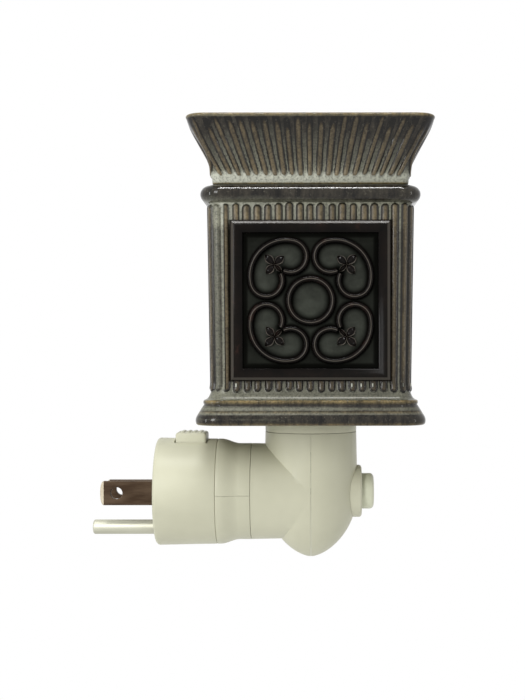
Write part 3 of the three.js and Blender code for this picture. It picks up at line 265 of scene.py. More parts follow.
# Rim of the dish: inset from its half width, drop from its top and tan wear
RIM_ROWS = (
    (0.1, 1.2, 0.1), (0, 0.9, 0.35), (0.05, 0.55, 0.55), (0.25, 0.25, 0.7),
    (0.5, 0.08, 0.7), (0.9, 0, 0.7), (2.2, 0.1, 0.3), (3, 0.6, 0),
)

# Scroll plaques
PLAQUE_HALF = 25.0
PLAQUE_MIDDLE = 38.6
PLAQUE_SEAT = 30.506
PANEL = 1.6
FRAME_WIDTH = 4.2
FRAME_RISE = 3.4
RING_RADIUS = 6.8
RING_DISH = 0.55
SCROLLS = 4
SCROLL_RADIUS = 1.05
SCROLL_RISE = 1.55
HEART_OFFSET = 10.72
HEART_RADIUS = 11.08
LOBE_RADIUS = 4.9
LOBE_START = 58.6
LOBE_SWEEP = 192
GROUND_STEPS = 120

# Frame of a plaque from outside in: inset, height and gloom. Gloom above none is patina with painted shade at
# the frame's feet and inner step; below none it is worn grey on the bevel, partly wear and partly a painted
# highlight
FRAME_PROFILE = (
    (0, 0, 0.5), (0, 1.5, 0.4), (0.15, 2.1, 0.2), (0.4, 2.65, 0.1), (0.5, 2.76, -0.1),
    (0.54, 2.788, -0.24), (1.24, FRAME_RISE - 0.154, -0.24), (1.28, FRAME_RISE - 0.13, -0.1),
    (1.45, FRAME_RISE - 0.05, 0), (1.65, FRAME_RISE, 0), (1.9, FRAME_RISE - 0.05, 0),
    (2.3, 3.2, 0.1), (2.9, 2.9, 0.25), (3.5, 2.65, 0.45), (3.9, 2.45, 0.6), (4.05, 2.25, 0.8),
    (FRAME_WIDTH, PANEL, 1), (FRAME_WIDTH, 0, 1),
)

# Trefoil: its place on the scroll's axis, each leaf's turn, length and width, and a section with its wear,
# whose pale rims partly paint a highlight
TREFOIL = 15.8
LEAVES = ((0, 4.1, 2.9), (95, 3.9, 2.8), (-95, 3.9, 2.8), (180, 3.4, 1.6))
LEAF_STEPS = 9
LEAF_SECTION = ((-1, -0.3), (-0.85, 0.75), (-0.5, 0.55), (0, 0.8), (0.5, 0.55), (0.85, 0.75), (1, -0.3))
LEAF_RUB_AND_HIGHLIGHT = (0, 0.9, 0, 0.3, 0, 0.9, 0)

# Gloom on a plaque, patina in its hollows deepened with painted shade: on its ground by how sheltered it is,
# and up the side of a scroll
SHELTER_GAPS = 0.75
SHELTER_HEARTS = 0.22
GLOOM_DEEPEST = 0.96
SCROLL_GLOOM_REACH = 1.3
FRAME_GLOOM_FLAT = 0.9
FRAME_GLOOM_REACH = 1.6
SCROLL_GLOOM = ((0, 0.6, 0.97), (1, 0.7, 0.3))
# The pale line along each scroll's crest, set as wear, is a painted highlight.
SCROLL_CREST = 0.97
SCROLL_CREST_HIGHLIGHT = 0.75

# Floor, lamps (place, aim, width and height, watts) and camera
FLOOR_REACH = 3000
FLOOR_HEIGHT = -110
WHITE = (1, 1, 1, 1)
FILL = 0.39
LAMPS = (
    ("key", (-200, -480, 200), (45, 0, 45), (150, 260), 1.2),
    ("left", (-400, -240, 80), (30, -20, 60), (22, 300), 0.34),
    ("right", (500, -240, 80), (70, -20, 60), (12, 300), 0.18),
    ("top", (60, -210, 580), (50, -30, 80), (340, 16), 2.0),
)
CAMERA_PLACE = (52.0, -437.3, 46.9)
CAMERA_ROLL = radians(-0.05)
CAMERA_SHIFT = -0.0735
LENS = 67.5
SENSOR = 36

# Welding distances, and the angles past which an edge is sharp
WELD = 0.002
FINE_WELD = 0.0005
PLASTIC_EDGE = 32
BLADE_FACET = 12
CERAMIC_EDGE = 50
PLAQUE_EDGE = 40

chance = np.random.default_rng(7)


# Nodes and materials


def linear(red, green, blue):
    """The shader's colour for one given in 0-255 screen values."""
    levels = [level / 255 for level in (red, green, blue)]
    return tuple(v / 12.92 if v <= 0.04045 else ((v + 0.055) / 1.055) ** 2.4 for v in levels) + (1.0,)


def feed(tree, socket, value):
    """Links an output to a socket, or sets the socket to a plain value."""
    if isinstance(value, bpy.types.NodeSocket):
        tree.links.new(value, socket)
    else:
        socket.default_value = value


def add_node(tree, kind, output, inputs, **settings):
    """Adds a node, feeds its inputs and gives one of its outputs; a list feeds an input that joins."""
    node = tree.nodes.new(kind)
    for name, value in settings.items():
        setattr(node, name, value)
    for name, value in inputs.items():
        for source in value if isinstance(value, list) else [value]:
            feed(tree, node.inputs[name], source)
    return node.outputs[output]


class Finish:
    """A node material; its ramps and mixes take colours in 0-255 screen values."""

    def __init__(self, name):
        self.material = bpy.data.materials.new(name)
        self.material.use_nodes = True
        self.tree = self.material.node_tree
        self.shader = self.tree.nodes["Principled BSDF"]

    def set(self, **values):
        for name, value in values.items():
            feed(self.tree, self.shader.inputs[name.replace("_", " ")], value)

    def noise(self, scale, detail, roughness, stretch=None):
        source = add_node(self.tree, "ShaderNodeTexCoord", "Object", {})
        if stretch:
            source = add_node(self.tree, "ShaderNodeMapping", "Vector", {"Vector": source, "Scale": stretch})
        inputs = {"Vector": source, "Scale": scale, "Detail": detail, "Roughness": roughness}
        return add_node(self.tree, "ShaderNodeTexNoise", "Fac", inputs)

    def attribute(self, name):
        return add_node(self.tree, "ShaderNodeAttribute", "Fac", {}, attribute_name=name)

    def ramp(self, source, *stops):
        colour = add_node(self.tree, "ShaderNodeValToRGB", "Color", {"Fac": source})
        elements = colour.node.color_ramp.elements
        while len(elements) < len(stops):
            elements.new(0.5)
        for element, (place, value) in zip(elements, stops):
            element.position = place
            element.color = linear(*value) if isinstance(value, tuple) else (value, value, value, 1)
        return colour

    def maths(self, operation, first, second, clamp=False):
        inputs = {0: first, 1: second}
        return add_node(self.tree, "ShaderNodeMath", 0, inputs, operation=operation, use_clamp=clamp)

    def mix(self, factor, first, second):
        over = linear(*second) if isinstance(second, tuple) else second
        return add_node(self.tree, "ShaderNodeMix", 2, {0: factor, 6: first, 7: over}, data_type="RGBA")

    def bump(self, height, strength, distance):
        inputs = {"Height": height, "Strength": strength, "Distance": distance * MM}
        self.set(Normal=add_node(self.tree, "ShaderNodeBump", "Normal", inputs))


def glaze_finish():
    """Celadon over dark clay: brown on the reeds with a painted highlight along their crests, charcoal where
    it runs thin, tan on the sharp edges.
    """
    glaze = Finish("reactive_glaze")
    ramp, mix, maths = glaze.ramp, glaze.mix, glaze.maths
    clouds = glaze.noise(110, 5, 0.65)
    grain = glaze.noise(1500, 3, 0.7)
    streaks = glaze.noise(420, 6, 0.7, (1, 1, 0.25))
    relief = glaze.attribute("relief")
    dark = glaze.attribute("dark")
    gold = glaze.attribute("gold")
    # Darkness below none turns the glaze pale: pooling celadon in the dish's neck band and under the
    # shoulder, and painted glints at the reeds' feet
    paled = maths("MULTIPLY", dark, -2.5, clamp=True)
    thick = ramp(clouds, (0.3, (98, 98, 83)), (0.7, (148, 148, 130)))
    celadon = mix(paled, thick, (200, 202, 186))
    charcoal = ramp(streaks, (0.38, (8, 6, 4)), (0.66, (58, 53, 44)))
    darkness = maths("ADD", dark, maths("MULTIPLY", maths("SUBTRACT", clouds, 0.5), 0.8))
    coat = mix(ramp(darkness, (0.15, 0.0), (0.85, 1.0)), celadon, charcoal)
    tan = ramp(streaks, (0.3, (62, 53, 36)), (0.7, (130, 115, 84)))
    umber = ramp(streaks, (0.3, (18, 14, 8)), (0.7, (76, 65, 45)))
    crest = mix(dark, tan, umber)
    crested = mix(ramp(relief, (0.5, 0.0), (0.8, 0.95)), coat, crest)
    # A paler line along each reed's crest: a painted highlight.
    crested = mix(ramp(relief, (0.94, 0.0), (1.0, 0.14)), crested, (146, 132, 106))
    dry = maths("SUBTRACT", 1.0, paled)
    edge = ramp(relief, (0.02, 0.0), (0.1, 1.0), (0.7, 0.88), (0.95, 0.0))
    outlined = mix(maths("MULTIPLY", edge, dry), crested, (13, 10, 6))
    worn = maths("MULTIPLY", gold, ramp(streaks, (0.36, 0.25), (0.62, 1.0)), clamp=True)
    edged = mix(worn, outlined, (158, 137, 88))
    specked = mix(ramp(grain, (0.36, 0.55), (0.52, 0.0)), edged, (28, 26, 22))
    flecked = mix(ramp(grain, (0.6, 0.0), (0.74, 0.18)), specked, (176, 172, 152))
    gloss = ramp(darkness, (0.2, 0.32), (0.8, 0.09))
    glaze.set(Base_Color=flecked, Roughness=gloss, Specular_IOR_Level=0.3)
    glaze.bump(grain, 0.12, 0.1)
    return glaze.material


def bronze_finish():
    """Near-black bronze with red-brown patches, black in the gloom, which is patina with painted shade, and
    worn grey where marked, partly wear and partly painted highlight.
    """
    bronze = Finish("burnished_bronze")
    patches = bronze.noise(170, 5, 0.65)
    grain = bronze.noise(1300, 3, 0.6)
    gloom = bronze.attribute("gloom")
    black, brown, red = (16, 14, 12), (24, 19, 16), (54, 35, 29)
    worn = bronze.ramp(patches, (0.4, black), (0.62, brown), (0.78, red))
    # Gloom blackens the hollows: patina with painted shade.
    shaded = bronze.mix(gloom, worn, (5, 4, 4))
    # Worn grey on crests, bevels and leaf rims: partly wear, partly painted highlight.
    rub_and_highlight = bronze.mix(bronze.maths("MULTIPLY", gloom, -1.0, clamp=True), shaded, (122, 116, 106))
    gloss = bronze.ramp(grain, (0.3, 0.12), (0.7, 0.2))
    bronze.set(Base_Color=rub_and_highlight, Roughness=gloss, Specular_IOR_Level=0.07)
    bronze.bump(grain, 0.08, 0.08)
    return bronze.material


def panel_finish():
    """The dull grey-green ground behind the scrolls, dark along their feet and by the frame with patina and
    painted shade.
    """
    panel = Finish("panel_ground")
    dust = panel.noise(140, 5, 0.6)
    ground = panel.ramp(dust, (0.35, (52, 54, 49)), (0.7, (72, 75, 68)))
    shaded = panel.mix(panel.attribute("gloom"), ground, (6, 6, 5))
    panel.set(Base_Color=shaded, Roughness=0.6, Specular_IOR_Level=0.0)
    return panel.material


def plastic_finish(name, pale, deep, roughness):
    plastic = Finish(name)
    clouds = plastic.ramp(plastic.noise(60, 3, 0.5), (0.3, deep), (0.7, pale))
    plastic.set(Base_Color=clouds, Roughness=roughness, Specular_IOR_Level=0.35)
    plastic.bump(plastic.noise(1600, 2, 0.5), 0.06, 0.05)
    return plastic.material


def metal_finish(name, pale, deep, roughness, scratches):
    metal = Finish(name)
    streaks = metal.ramp(metal.noise(260, 4, 0.6, scratches), (0.35, deep), (0.65, pale))
    metal.set(Base_Color=streaks, Metallic=1.0, Roughness=roughness)
    return metal.material


def glass_finish():
    glass = Finish("bulb_glass")
    frost = glass.ramp(glass.noise(300, 2, 0.5), (0.3, 0.04), (0.7, 0.08))
    glass.set(Base_Color=(0.96, 0.97, 0.96, 1), Roughness=frost, Transmission_Weight=1.0, IOR=1.45)
    return glass.material


GLAZE = glaze_finish()
BRONZE = bronze_finish()
PANEL_GROUND = panel_finish()
IVORY = plastic_finish("ivory_plastic", (207, 206, 182), (198, 197, 173), 0.42)
# The button's plastic is greener than the ivory, and paler than it to make up for the shade the button sits
# in: painted light
BUTTON = plastic_finish("button_plastic", (220, 222, 197), (212, 214, 189), 0.4)
BLADE = metal_finish("blade_metal", (94, 79, 64), (62, 49, 38), 0.45, (0.2, 1, 1))
BARE_NOSE = metal_finish("bare_nose", (192, 183, 163), (178, 168, 148), 0.5, (0.2, 1, 1))
PIN = metal_finish("pin_metal", (206, 206, 188), (190, 189, 172), 0.5, (0.15, 1, 1))


# Shapes


def add_object(name, data):
    holder = bpy.data.objects.new(name, data)
    bpy.context.collection.objects.link(holder)
    return holder


def make_piece(name, points, faces, *materials):
    mesh = bpy.data.meshes.new(name)
    mesh.from_pydata([tuple(point) for point in np.asarray(points, dtype=float) * MM], [], faces)
    mesh.update()
    for material in materials:
        mesh.materials.append(material)
    return add_object(name, mesh)


def mark(piece, name, values):
    """Keeps a value for each point of a piece, for its material to read."""
    layer = piece.data.attributes.new(name, "FLOAT", "POINT")
    layer.data.foreach_set("value", np.asarray(values, dtype=np.float32))


def outward(piece, weld=WELD):
    """Welds a piece's doubled points and turns its faces outwards."""
    work = bmesh.new()
    work.from_mesh(piece.data)
    bmesh.ops.remove_doubles(work, verts=work.verts, dist=weld * MM)
    bmesh.ops.recalc_face_normals(work, faces=work.faces)
    work.to_mesh(piece.data)
    work.free()
    return piece


def bands(rows, count, closed=False, first=0):
    """Faces between rings of equal count; a closed set also joins the last ring to the first."""
    faces = []
    for row in range(rows if closed else rows - 1):
        low = first + row * count
        high = first + (row + 1) % rows * count
        for k in range(count):
            n = (k + 1) % count
            faces.append((low + k, low + n, high + n, high + k))
    return faces


def turned(name, profile, material, axis, centre=(0, 0, 0), segments=96):
    """Turns (radius, along) pairs about an axis; an open profile starts and ends on it."""
    closed = profile[0] == profile[-1]
    rows = profile[:-1] if closed else profile
    angles = np.linspace(0, 2 * np.pi, segments, endpoint=False)
    rings = [np.stack([radius * np.cos(angles), radius * np.sin(angles), np.full(segments, along)], 1)
             for radius, along in rows]
    order = {"x": [2, 0, 1], "y": [0, 2, 1], "z": [0, 1, 2]}[axis]
    points = np.concatenate(rings)[:, order] + np.array(centre)
    return outward(make_piece(name, points, bands(len(rows), segments, closed), material))


def drill(material, radius, low, high, axis, centre, segments):
    profile = [(0, low), (radius, low), (radius, high), (0, high)]
    return turned("hole", profile, material, axis, centre, segments)


def curve_of(centre, radii, start, end, steps):
    angles = np.radians(np.linspace(start, end, steps + 1))
    return [(centre[0] + radii[0] * cos(a), centre[1] + radii[1] * sin(a)) for a in angles]


def start_round(radius, along, size, steps=3):
    """A quarter round at the start of a turned profile's outer wall."""
    return curve_of((radius - size, along + size), (size, size), -90, 0, steps)


def end_round(radius, along, size, steps=3):
    """A quarter round at the end of a turned profile's outer wall."""
    return curve_of((radius - size, along - size), (size, size), 0, 90, steps)


def block(name, low, high, *materials):
    corners = [(x, y, z) for z in (low[2], high[2]) for y in (low[1], high[1]) for x in (low[0], high[0])]
    faces = [(0, 2, 3, 1), (4, 5, 7, 6), (0, 1, 5, 4), (2, 6, 7, 3), (0, 4, 6, 2), (1, 3, 7, 5)]
    return make_piece(name, corners, faces, *materials)


def settle(piece):
    """Turns a piece with modifiers into a plain mesh."""
    evaluated = piece.evaluated_get(bpy.context.evaluated_depsgraph_get())
    mesh = bpy.data.meshes.new_from_object(evaluated)
    piece.modifiers.clear()
    piece.data = mesh
    return piece


def combine(piece, tool, operation):
    """Joins, cuts or trims a piece with another, which is used up."""
    change = piece.modifiers.new("shape", "BOOLEAN")
    change.operation = operation
    change.solver = "EXACT"
    change.object = tool
    settle(piece)
    bpy.data.objects.remove(tool, do_unlink=True)
    return piece


def softened(piece, width, segments=2, degrees=40):
    """Rounds the edges that turn by more than an angle."""
    bevel = piece.modifiers.new("edge", "BEVEL")
    bevel.width = width * MM
    bevel.segments = segments
    bevel.limit_method = "ANGLE"
    bevel.angle_limit = radians(degrees)
    return settle(piece)


def place(piece, body, slot, node, degrees=PLASTIC_EDGE):
    """Shades a piece, gives it its body and hides the solid that it stands for; the slot is not used."""
    piece.data.polygons.foreach_set("use_smooth", [True] * len(piece.data.polygons))
    piece.data.set_sharp_from_angle(angle=radians(degrees))
    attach(piece, body)
    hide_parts(node)


# Plug


def plug_head():
    edge = start_round(HEAD_RADIUS, 0, HEAD_EDGE, 6)
    draft = [(HEAD_RADIUS - narrower, along) for narrower, along in HEAD_DRAFT]
    rim = end_round(HEAD_SEAM_RADIUS, HEAD_LENGTH, HEAD_RIM_ROUND)
    bore = HEAD_SEAM_RADIUS - HEAD_WALL
    profile = [(0, 0), *edge, *draft, *rim, (bore, HEAD_LENGTH), (bore, HEAD_FACE), (0, HEAD_FACE)]
    head = turned("plug_head", profile, IVORY, "x", segments=128)
    for _, width, side in BLADES:
        middle = side * BLADE_SPACING / 2
        half = BLADE_THICKNESS / 2 + GAP
        low = (-OVER, middle - half, -width / 2 - GAP)
        high = (HEAD_FACE + OVER, middle + half, width / 2 + GAP)
        combine(head, block("slot", low, high), "DIFFERENCE")
    hole = drill(IVORY, PIN_RADIUS + GAP, -OVER, HEAD_FACE + OVER, "x", (0, 0, -PIN_DROP), 48)
    combine(head, hole, "DIFFERENCE")
    half = LOCK_WIDTH / 2 + RUN
    low = (LOCK_START - RUN, -half, LOCK_LIP_BOTTOM)
    combine(head, block("window", low, (LOCK_END + RUN, half, LOCK_TOP + OVER)), "DIFFERENCE")
    place(head, "plug", "ivory_plastic", "plug_shell")


def lock_button():
    """A rounded button with grip ridges on top and a lip that keeps it in the head."""
    half = LOCK_WIDTH / 2
    top = (LOCK_END, half, LOCK_TOP - RIDGE_RISE)
    button = block("lock_button", (LOCK_START, -half, LOCK_LIP_BOTTOM), top, IVORY)
    softened(button, LOCK_ROUND, 4)
    pitch = (LOCK_END - LOCK_START - 2 * RIDGE_END_MARGIN) / RIDGES
    ridge_half = half - RIDGE_SIDE_MARGIN
    for k in range(RIDGES):
        start = LOCK_START + RIDGE_END_MARGIN + pitch * k + RIDGE_GROOVE / 2
        ridge = block("ridge", (start, -ridge_half, LOCK_TOP - RIDGE_ROOT),
                      (start + pitch - RIDGE_GROOVE, ridge_half, LOCK_TOP), IVORY)
        combine(button, softened(ridge, RIDGE_ROUND), "UNION")
    lip = block("lip", (LOCK_START, -LOCK_LIP_WIDTH / 2, LOCK_LIP_BOTTOM),
                (LOCK_END, LOCK_LIP_WIDTH / 2, LOCK_LIP_TOP - GAP), IVORY)
    combine(button, lip, "UNION")
    place(button, "lock_button", "ivory_plastic", "lock_button")


def coin_nose(piece, middle):
    """Thins a blade's nose towards its end and bares the pale metal there."""
    start = (BLADE_NOSE - BLADE_REACH) * MM
    work = bmesh.new()
    work.from_mesh(piece.data)
    everything = work.verts[:] + work.edges[:] + work.faces[:]
    bmesh.ops.bisect_plane(work, geom=everything, plane_co=(start, 0, 0), plane_no=(1, 0, 0))
    for vertex in work.verts:
        inward = BLADE_COIN * max(start - vertex.co.x, 0)
        vertex.co.y -= copysign(inward, vertex.co.y - middle)
    for face in work.faces:
        face.material_index = int(face.calc_center_median().x < start)
    work.to_mesh(piece.data)
    work.free()


def blade(name, width, side):
    """A flat blade with a coined round nose and a round hole."""
    half = width / 2
    nose = (BLADE_NOSE, BLADE_NOSE_SHARE * half)
    outline = [(BLADE_END, -half), (BLADE_END, half)]
    outline += curve_of((BLADE_NOSE - BLADE_REACH, half - nose[1]), nose, 90, 180, 12)
    outline += curve_of((BLADE_NOSE - BLADE_REACH, nose[1] - half), nose, 180, 270, 12)
    middle = side * BLADE_SPACING / 2
    thick = BLADE_THICKNESS / 2
    count = len(outline)
    points = [(x, y, z) for y in (middle - thick, middle + thick) for x, z in outline]
    faces = [tuple(range(count)), tuple(range(2 * count - 1, count - 1, -1))]
    faces += [(k, k + count, (k + 1) % count + count, (k + 1) % count) for k in range(count)]
    piece = outward(make_piece(name, points, faces, BLADE, BARE_NOSE))
    hole_at = (BLADE_HOLE_INSET - BLADE_REACH, middle, 0)
    hole = drill(BLADE, BLADE_HOLE_RADIUS, 2 * BLADE_THICKNESS, -2 * BLADE_THICKNESS, "y", hole_at, 48)
    combine(piece, hole, "DIFFERENCE")
    softened(piece, BLADE_EDGE, degrees=50)
    coin_nose(piece, middle * MM)
    place(piece, "plug", "blade_metal", name, BLADE_FACET)


def earth_pin():
    tip = start_round(PIN_RADIUS, -PIN_REACH, PIN_ROUND, 5)
    profile = [(0, -PIN_REACH), *tip, (PIN_RADIUS, PIN_END), (0, PIN_END)]
    pin = turned("earth_pin", profile, PIN, "x", (0, 0, -PIN_DROP), 64)
    place(pin, "plug", "pin_metal", "earth_pin")


def collar_half(name, side):
    start = (COLLAR_BORE, COLLAR_START)
    rim = start_round(HEAD_SEAM_RADIUS, COLLAR_START, COLLAR_START_ROUND)
    taper = [(HEAD_SEAM_RADIUS - (HEAD_SEAM_RADIUS - BARREL_RADIUS) * (1 - cos(pi * t)) / 2,
              COLLAR_START + COLLAR_SHELF + COLLAR_TAPER * t) for t in np.linspace(0, 1, 17)]
    end = end_round(BARREL_RADIUS, COLLAR_END, COLLAR_END_ROUND)
    profile = [start, *rim, *taper, *end, (SPIGOT_RADIUS, COLLAR_END), (SPIGOT_RADIUS, SPIGOT_END),
               (COLLAR_CHAMBER, SPIGOT_END), (COLLAR_CHAMBER, COLLAR_LIP_END), (COLLAR_BORE, COLLAR_LIP_END),
               start]
    half = turned(name, profile, IVORY, "x", segments=128)
    low, high = sorted((side * SEAM, side * BEYOND))
    keep = block("keep", (COLLAR_START - OVER, -BEYOND, low), (SPIGOT_END + OVER, BEYOND, high))
    combine(half, keep, "INTERSECT")
    place(half, "base", "ivory_plastic", name)


# Elbow


def elbow(wall):
    """The neck with its domed end, joined by the barrel that comes in from the plug."""
    over = OVER if wall else 0
    radius = ELBOW_RADIUS - wall
    oval = curve_of((0, 0), (1, DOME_DEPTH - wall), -90, 0, 28)
    dome = [(radius * max(share, 0) ** DOME_TAPER, height) for share, height in oval]
    dome[0] = (0, wall - DOME_DEPTH)
    top = NECK_RADIUS - wall
    rises = [(radius + (top - radius) * t, NECK_HEIGHT * t) for t in (0.25, 0.5, 0.75, 1)]
    profile = [*dome, *rises, (top, NECK_HEIGHT + over), (0, NECK_HEIGHT + over)]
    neck = turned("neck", profile, IVORY, "z", NECK_AXIS, 144)
    mouth = BARREL_RADIUS - wall
    length = NECK_X - BARREL_START
    runs = [(mouth + (radius - mouth) * t, BARREL_START + length * t) for t in np.linspace(0, 1, 8)]
    profile = [(0, BARREL_START - over), (mouth, BARREL_START - over), *runs, (0, NECK_X)]
    return combine(neck, turned("barrel", profile, IVORY, "x", segments=144), "UNION")


def elbow_half(name, side):
    shell = combine(elbow(0), elbow(HOUSING_WALL), "DIFFERENCE")
    shell.name = name
    low, high = sorted((side * SEAM, side * BEYOND))
    keep = block("keep", (NECK_X + low, -BEYOND, -BEYOND), (NECK_X + high, BEYOND, BEYOND))
    return combine(shell, keep, "INTERSECT")


def strip_block(clearance):
    half = STRIP_HALF + clearance
    return block("strip", (NECK_X + STRIP_BACK, -half, 0), (NECK_X + BEYOND, half, BEYOND))


def housings():
    place(elbow_half("rear_housing", -1), "base", "ivory_plastic", "rear_housing")
    front = elbow_half("front_housing", 1)
    hole = drill(IVORY, BOSS_RADIUS + GAP / 2, STRIP_BACK, BEYOND, "x", NECK_AXIS, 96)
    combine(front, hole, "DIFFERENCE")
    combine(front, strip_block(GAP / 2), "DIFFERENCE")
    place(front, "base", "ivory_plastic", "front_housing")


def switch_bezel():
    """The round boss and the strip above it, bored for the button."""
    edge = end_round(BOSS_RADIUS, BOSS_FACE, BOSS_ROUND, 6)
    profile = [(0, BOSS_BACK), (BOSS_RADIUS, BOSS_BACK), *edge, (0, BOSS_FACE)]
    boss = turned("boss", profile, IVORY, "x", NECK_AXIS)
    bezel = combine(elbow_half("switch_bezel", 1), strip_block(0), "INTERSECT")
    combine(bezel, boss, "UNION")
    lip = BOSS_FACE - BOSS_LIP
    bore = [(0, BOSS_BACK - OVER), (BOSS_BORE, BOSS_BACK - OVER), (BOSS_BORE, lip), (BUTTON_BORE, lip),
            (BUTTON_BORE, BOSS_FACE + OVER), (0, BOSS_FACE + OVER)]
    combine(bezel, turned("bore", bore, IVORY, "x", NECK_AXIS), "DIFFERENCE")
    place(bezel, "base", "ivory_plastic", "switch_bezel")


def switch_button():
    """A domed cap with a flange behind the bezel's lip and a stem."""
    front = BOSS_FACE - BOSS_LIP - GAP
    back = front - BUTTON_FLANGE_DEPTH
    face = end_round(BUTTON_RADIUS, BUTTON_FACE, BUTTON_ROUND, 10)
    profile = [(0, BUTTON_STEM_BACK), (BUTTON_STEM_RADIUS, BUTTON_STEM_BACK), (BUTTON_STEM_RADIUS, back),
               (BUTTON_FLANGE, back), (BUTTON_FLANGE, front), (BUTTON_RADIUS, front), *face, (0, BUTTON_FACE)]
    button = turned("switch_button", profile, BUTTON, "x", NECK_AXIS)
    place(button, "switch_button", "button_plastic", "switch_button")


def neck_ring():
    start = (TUBE_BORE, NECK_SPIGOT_START)
    low = start_round(NECK_RADIUS, RING_START, RING_ROUND)
    high = end_round(NECK_RADIUS, RING_END, RING_ROUND)
    profile = [start, (NECK_SPIGOT_RADIUS, NECK_SPIGOT_START), (NECK_SPIGOT_RADIUS, RING_START), *low, *high,
               (TUBE_RADIUS, RING_END), (TUBE_RADIUS, TUBE_END), (TUBE_BORE, TUBE_END), start]
    ring = turned("neck_collar", profile, IVORY, "z", NECK_AXIS, 128)
    place(ring, "base", "ivory_plastic", "neck_collar")


# Ceramic


class Skin:
    """Level rings up a square glazed piece, each place with its relief, its darkness and its tan wear.

    A place is a side, a share of the side's straight run, and an angle round the corner after it.
    """

    def __init__(self, steps, foot):
        flat_steps, corner_steps = steps
        places = []
        for side in range(4):
            places += [(side, share, 0.0) for share in np.linspace(-1, 1, flat_steps)]
            places += [(side, 1.0, a) for a in np.linspace(0, pi / 2, corner_steps + 1)[1:-1]]
        self.sides, self.shares, self.angles = np.array(places).T
        self.count = len(places)
        self.foot = foot
        self.rows = []
        self.marks = {"relief": [], "dark": [], "gold": []}

    def square(self, half, corner, height, stand=0.0):
        """A ring round a square with round corners, pushed out where it stands proud."""
        straight = half - corner
        reach = corner + stand
        x = self.shares * straight + reach * np.sin(self.angles)
        y = -straight - reach * np.cos(self.angles)
        spot = (x + 1j * y) * 1j ** self.sides
        return np.stack([spot.real, spot.imag, np.full(self.count, height)], 1)

    def circle(self, radius, height):
        ring = self.square(radius, radius * 0.4, height)
        ring[:, :2] *= (radius / np.hypot(ring[:, 0], ring[:, 1]))[:, None]
        return ring

    def run(self, side, straight, corner):
        """How far each place lies from the middle of one side and on round its corners."""
        own = self.sides == side
        before = (self.sides == (side - 1) % 4) & (self.angles > 0)
        run = np.full(self.count, np.inf)
        run[own] = self.shares[own] * straight + corner * self.angles[own]
        run[before] = -straight - corner * (pi / 2 - self.angles[before])
        return run

    def add(self, row, relief=0.0, dark=0.3, gold=0.0):
        self.rows.append(row + np.array([NECK_X, 0, self.foot]))
        for name, values in (("relief", relief), ("dark", dark), ("gold", gold)):
            self.marks[name].append(np.broadcast_to(values, self.count))

    def piece(self, name, closed):
        """Faces over the rings, capped at both ends unless they are closed."""
        faces = bands(len(self.rows), self.count, closed)
        if not closed:
            last = (len(self.rows) - 1) * self.count
            faces += [tuple(range(self.count - 1, -1, -1)), tuple(range(last, last + self.count))]
        piece = make_piece(name, np.concatenate(self.rows), faces, GLAZE)
        for mark_name, values in self.marks.items():
            mark(piece, mark_name, np.concatenate(values))
        return outward(piece, FINE_WELD)


def reed_shape(across, height, low, high, half):
    """How far an upright reed with round ends rises, as a share of its crest."""
    beyond = max(low - height, 0) + max(height - high, 0)
    inside = np.clip(1 - (np.hypot(across, beyond) / half) ** 2, 0, 1)
    return np.sqrt(inside) * np.clip(inside * 4, 0, 1)


def wall_half(height):
    """Half the body's width up the cove and the leaning wall."""
    if height < BODY_LOW[1]:
        share = (BODY_LOW[1] - height) / (BODY_LOW[1] - COVE_START)
        return COVE_OUTER - (COVE_OUTER - BODY_LOW[0]) * sqrt(max(0.0, 1 - share ** 2))
    slope = (BODY_HIGH[0] - BODY_LOW[0]) / (BODY_HIGH[1] - BODY_LOW[1])
    return BODY_LOW[0] + slope * (height - BODY_LOW[1])


def body_outline():
    """Half width, height, darkness and tan wear up the outside of the body."""
    rows = [(BASE_HALF - inset, height, dark, gold) for inset, height, dark, gold in BASE_ROWS]
    bead = (COVE_OUTER, (BEAD_START + COVE_START) / 2)
    for half, height in curve_of(bead, (BEAD_HALF - COVE_OUTER, (COVE_START - BEAD_START) / 2), -60, 80, 8):
        rows.append((half, height, BEAD_DARK, np.interp(height - bead[1], *BEAD_WEAR)))
    for low, high, count, dark in WALL_ROWS:
        rows += [(wall_half(height), height, dark, 0.0) for height in np.linspace(low, high, count)]
    torus = (SHOULDER_HALF - SHOULDER_ROUND, (BODY_HIGH[1] + BODY_TOP) / 2)
    radii = (SHOULDER_ROUND, (BODY_TOP - BODY_HIGH[1]) / 2 - 0.05)
    flat_start, flat_end = SHOULDER_FLAT
    rounds = curve_of(torus, radii, -84, flat_start, 16)
    rounds += curve_of(torus, radii, flat_start + 0.6, flat_end - 0.6, 1)
    rounds += curve_of(torus, radii, flat_end, 88, 8)
    for half, height in rounds:
        rows.append((half, height, np.interp(height - torus[1], *SHOULDER_DARK), 0.0))
    rows.append((SHOULDER_TOP, BODY_TOP, 0.6, 0.0))
    return rows


def body_reeds():
    """Each reed's side, middle, foot, head, stoutness and whether it is veiled; none is behind a plaque."""
    reach = (REEDS_OVER_PLAQUE + 1) // 2
    straight = BODY_MIDDLE - CORNER
    reeds = []
    for side in range(4):
        centres = [k * PITCH for k in range(-reach, reach + 1)]
        centres += [straight + CORNER * pi / 2 * share for share in (1 / 3, 2 / 3)]
        for centre in centres:
            whole = side % 2 == 1 or abs(centre) > (reach - 0.5) * PITCH
            ends = (REED_FOOT, REED_HEAD) if whole else (REED_FOOT, *BEHIND_PLAQUE, REED_HEAD)
            for low, high in zip(ends[::2], ends[1::2]):
                middle = centre + chance.normal(0, 0.1)
                foot = low + chance.normal(0, 0.15)
                head = high + chance.normal(0, 0.2)
                veiled = side % 2 == 1 and centre > straight + CORNER
                reeds.append((side, middle, foot, head, chance.uniform(0.88, 1.1), veiled))
    return reeds


